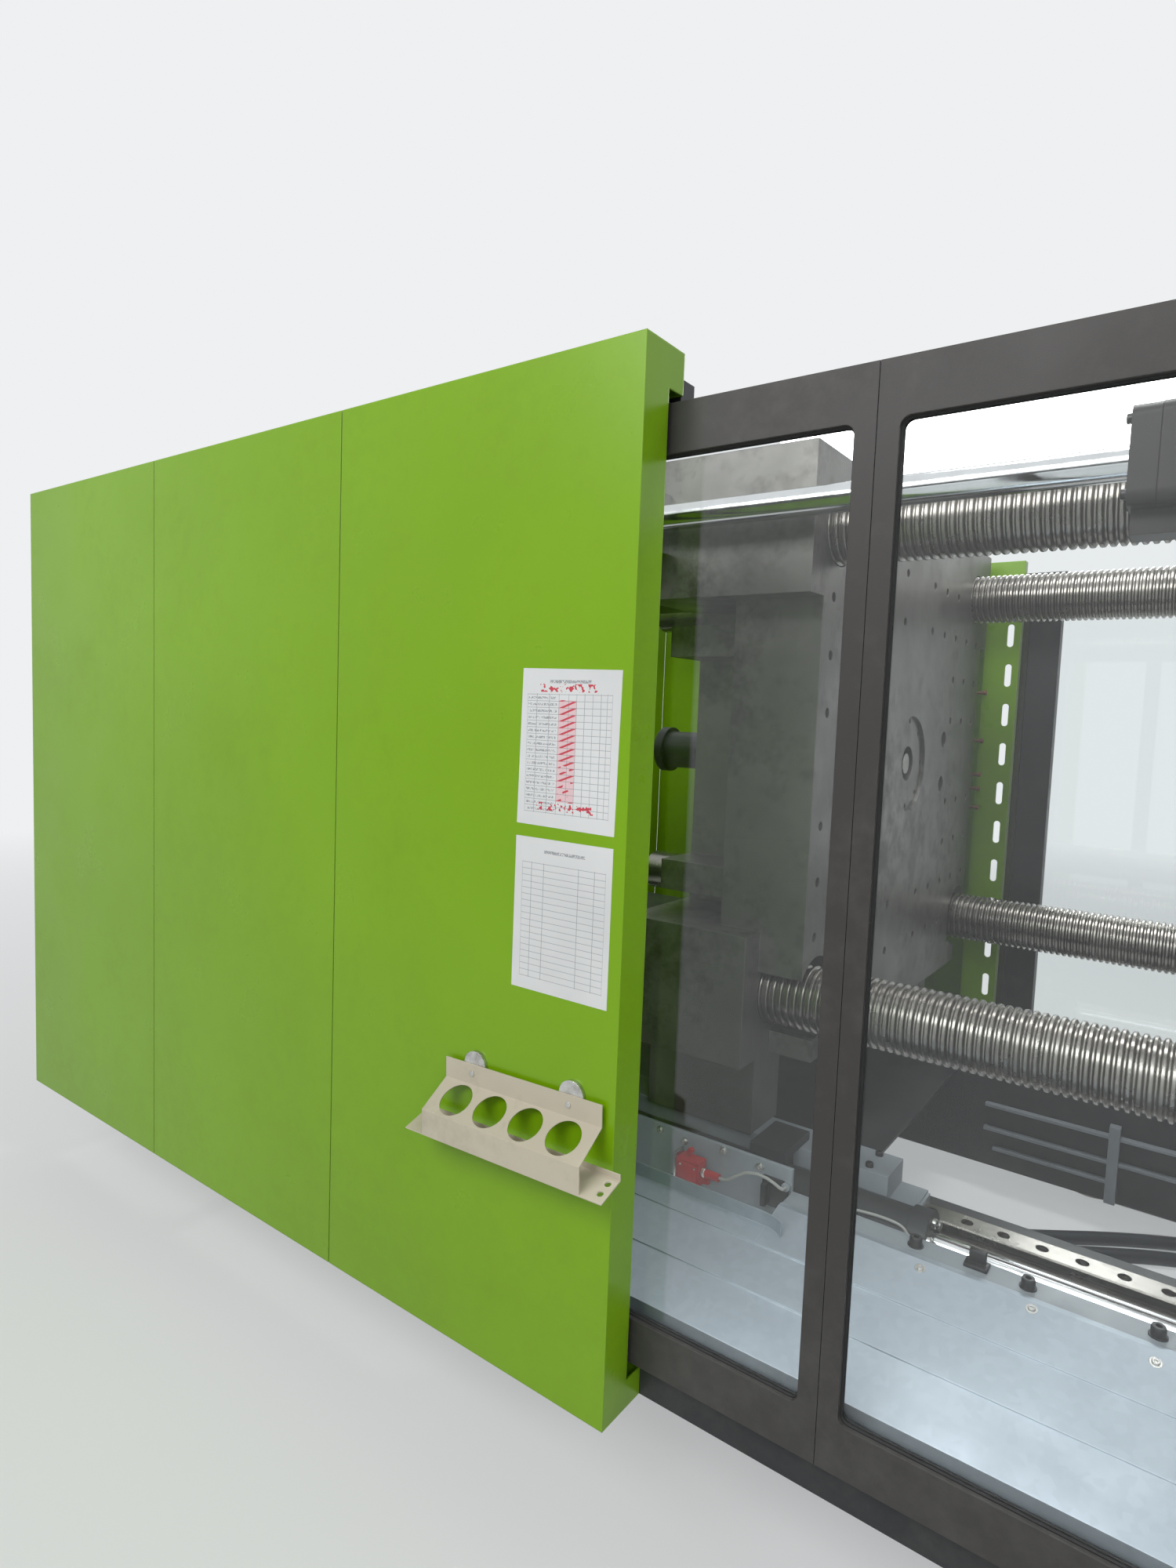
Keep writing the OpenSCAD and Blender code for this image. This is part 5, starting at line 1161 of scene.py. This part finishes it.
class MACHINE_OT_switch(bpy.types.Operator):
    """Fits out the switch recess and the lower cylinder's sensor lead"""

    bl_idname = "machine.switch"
    bl_label = "Switch"

    def execute(self, context):
        bracket = bmesh.new()
        bevel_block(bracket, (-166, 500, 498), (-160, 536, 566), 1.2)
        bevel_block(bracket, (-180, 496, 496), (-160, 536, 501), 1.2)
        gland_nut = ((10, 0), (11.5, 1.5), (11.5, 9), (10, 10.5))
        lathe(bracket, gland_nut, spot(-96, 505, 540), RIGHT, 6)
        finish_mesh(bracket, "switch_bracket", "screw_zinc", "machine")
        block_piece("switch_cap", "switch_red", "machine",
                    ((-146, 485.5, 512), (-100, 489, 556), 1.4))
        screws("switch_screws", "machine", "screw_zinc",
               [(spot(x, 485.6, z), FRONT) for x in (-141, -105) for z in (517, 551)], 2.6, 1.6)
        block_piece("recess_plate", "screw_black", "machine",
                    ((40, 528, 507), (100, 537, 570), 1.5), ((46, 506, 512), (58, 530, 562), 2))
        block_piece("beam_stop", "screw_black", "machine",
                    ((462, 505, 549), (504, 537, 556), 1.5), ((468, 520, 555), (498, 534, 578), 2))
        lead = ((120, 664, 509), (150, 648, 506), (196, 637, 506), (259, 636, 512), (305, 634, 511),
                (324, 631, 500), (334, 632, 484), (338, 637, 472))
        swept_piece("sensor_lead", "cable_grey", "clamp_carriage", [smooth_route(lead, 5)], 3.2, 10)
        block_piece("flange_sensor", "screw_black", "clamp_carriage",
                    ((326, 630, 452), (350, 646, 476), 2))
        return {"FINISHED"}


class MACHINE_OT_fittings(bpy.types.Operator):
    """Adds keys, louvres, the motor's fan cover and terminal box, and the heater leads"""

    bl_idname = "machine.fittings"
    bl_label = "Fittings"

    def execute(self, context):
        plates("panel_keys", "operator_panel", "key_plastic", 7, 2, (240, 38), (28, 22, 3),
               (1405, -256.5, 1563), FRONT)
        turned_piece("stop_collar", "beige_paint", "operator_panel",
                     ((31, 0), (31, 2.5), (29, 4), (15, 4.5)), [spot(1605, -256, 1565)], FRONT, 40)
        for name, z in (("cabinet_upper_louvres", 1640), ("cabinet_lower_louvres", 330)):
            plates(name, "cabinet_leaf", "grey_paint", 2, 9, (330, 200), (290, 14, 4),
                   (2790, 2552.5, z), REAR, tilt=0.35)
        plates("tank_louvres", "machine", "black_paint", 2, 8, (420, 240), (300, 16, 4),
               (-1840, 904, 700), FRONT, tilt=0.3)
        turned_piece("cabinet_lock", "screw_zinc", "cabinet_leaf",
                     ((11, 0), (11, 3), (9, 5), (4, 5.4)), [spot(3195, 2552.3, 1160)], REAR, 28)
        fan_cover = ((158, -4), (163, 2), (163, 54), (150, 68), (96, 72), (92, 68), (60, 68),
                     (56, 72), (20, 73))
        turned_piece("motor_fan_cover", "grey_paint", "machine", fan_cover,
                     [spot(-1840, 1045, 1207)], FRONT, 56)
        block_piece("motor_terminal_box", "grey_paint", "machine",
                    ((-1905, 1240, 1350), (-1775, 1390, 1425), 6),
                    ((-1911, 1234, 1410), (-1769, 1396, 1432), 5))
        self.heater_leads()
        return {"FINISHED"}

    def heater_leads(self):
        """A lead from each band's clamp down behind the barrel into the wire tray."""
        clamp_place = 92
        course = ((0, 22, 1600), (4, 60, 1604), (10, 110, 1585), (16, 150, 1530), (20, 168, 1440),
                  (24, 172, 1330), (26, 168, 1230))
        leads = [smooth_route([(start + clamp_place + dx, CENTRE_Y + dy, z)
                               for dx, dy, z in course], 4) for start in BAND_STARTS]
        swept_piece("heater_leads", "seal_rubber", "injection_unit", leads, 4.5, 10)
        block_piece("heater_wire_tray", "galvanised", "injection_unit",
                    ((1640, CENTRE_Y + 150, 1212), (3296, CENTRE_Y + 200, 1236), 3))


class MACHINE_PT_panel(bpy.types.Panel):
    """Lists the machine's operators"""

    bl_label = "Machine"
    bl_idname = "MACHINE_PT_panel"
    bl_space_type = "VIEW_3D"
    bl_region_type = "UI"
    bl_category = "Machine"

    def draw(self, context):
        for operator in OPERATORS:
            self.layout.operator(operator.bl_idname)


OPERATORS = (MACHINE_OT_stage, MACHINE_OT_finishes, MACHINE_OT_hoses, MACHINE_OT_screws,
             MACHINE_OT_guards, MACHINE_OT_switch, MACHINE_OT_fittings)
CLASSES = (MachineLooks, MachineCamera, *OPERATORS, MACHINE_PT_panel)


def register():
    for item in CLASSES:
        bpy.utils.register_class(item)
    bpy.types.Scene.machine_looks = PointerProperty(type=MachineLooks)
    bpy.types.Scene.machine_camera = PointerProperty(type=MachineCamera)


def unregister():
    del bpy.types.Scene.machine_camera
    del bpy.types.Scene.machine_looks
    for item in reversed(CLASSES):
        bpy.utils.unregister_class(item)


def main():
    register()
    for operator in OPERATORS:
        group, name = operator.bl_idname.split(".")
        getattr(getattr(bpy.ops, group), name)()


if __name__ == "__main__":
    main()
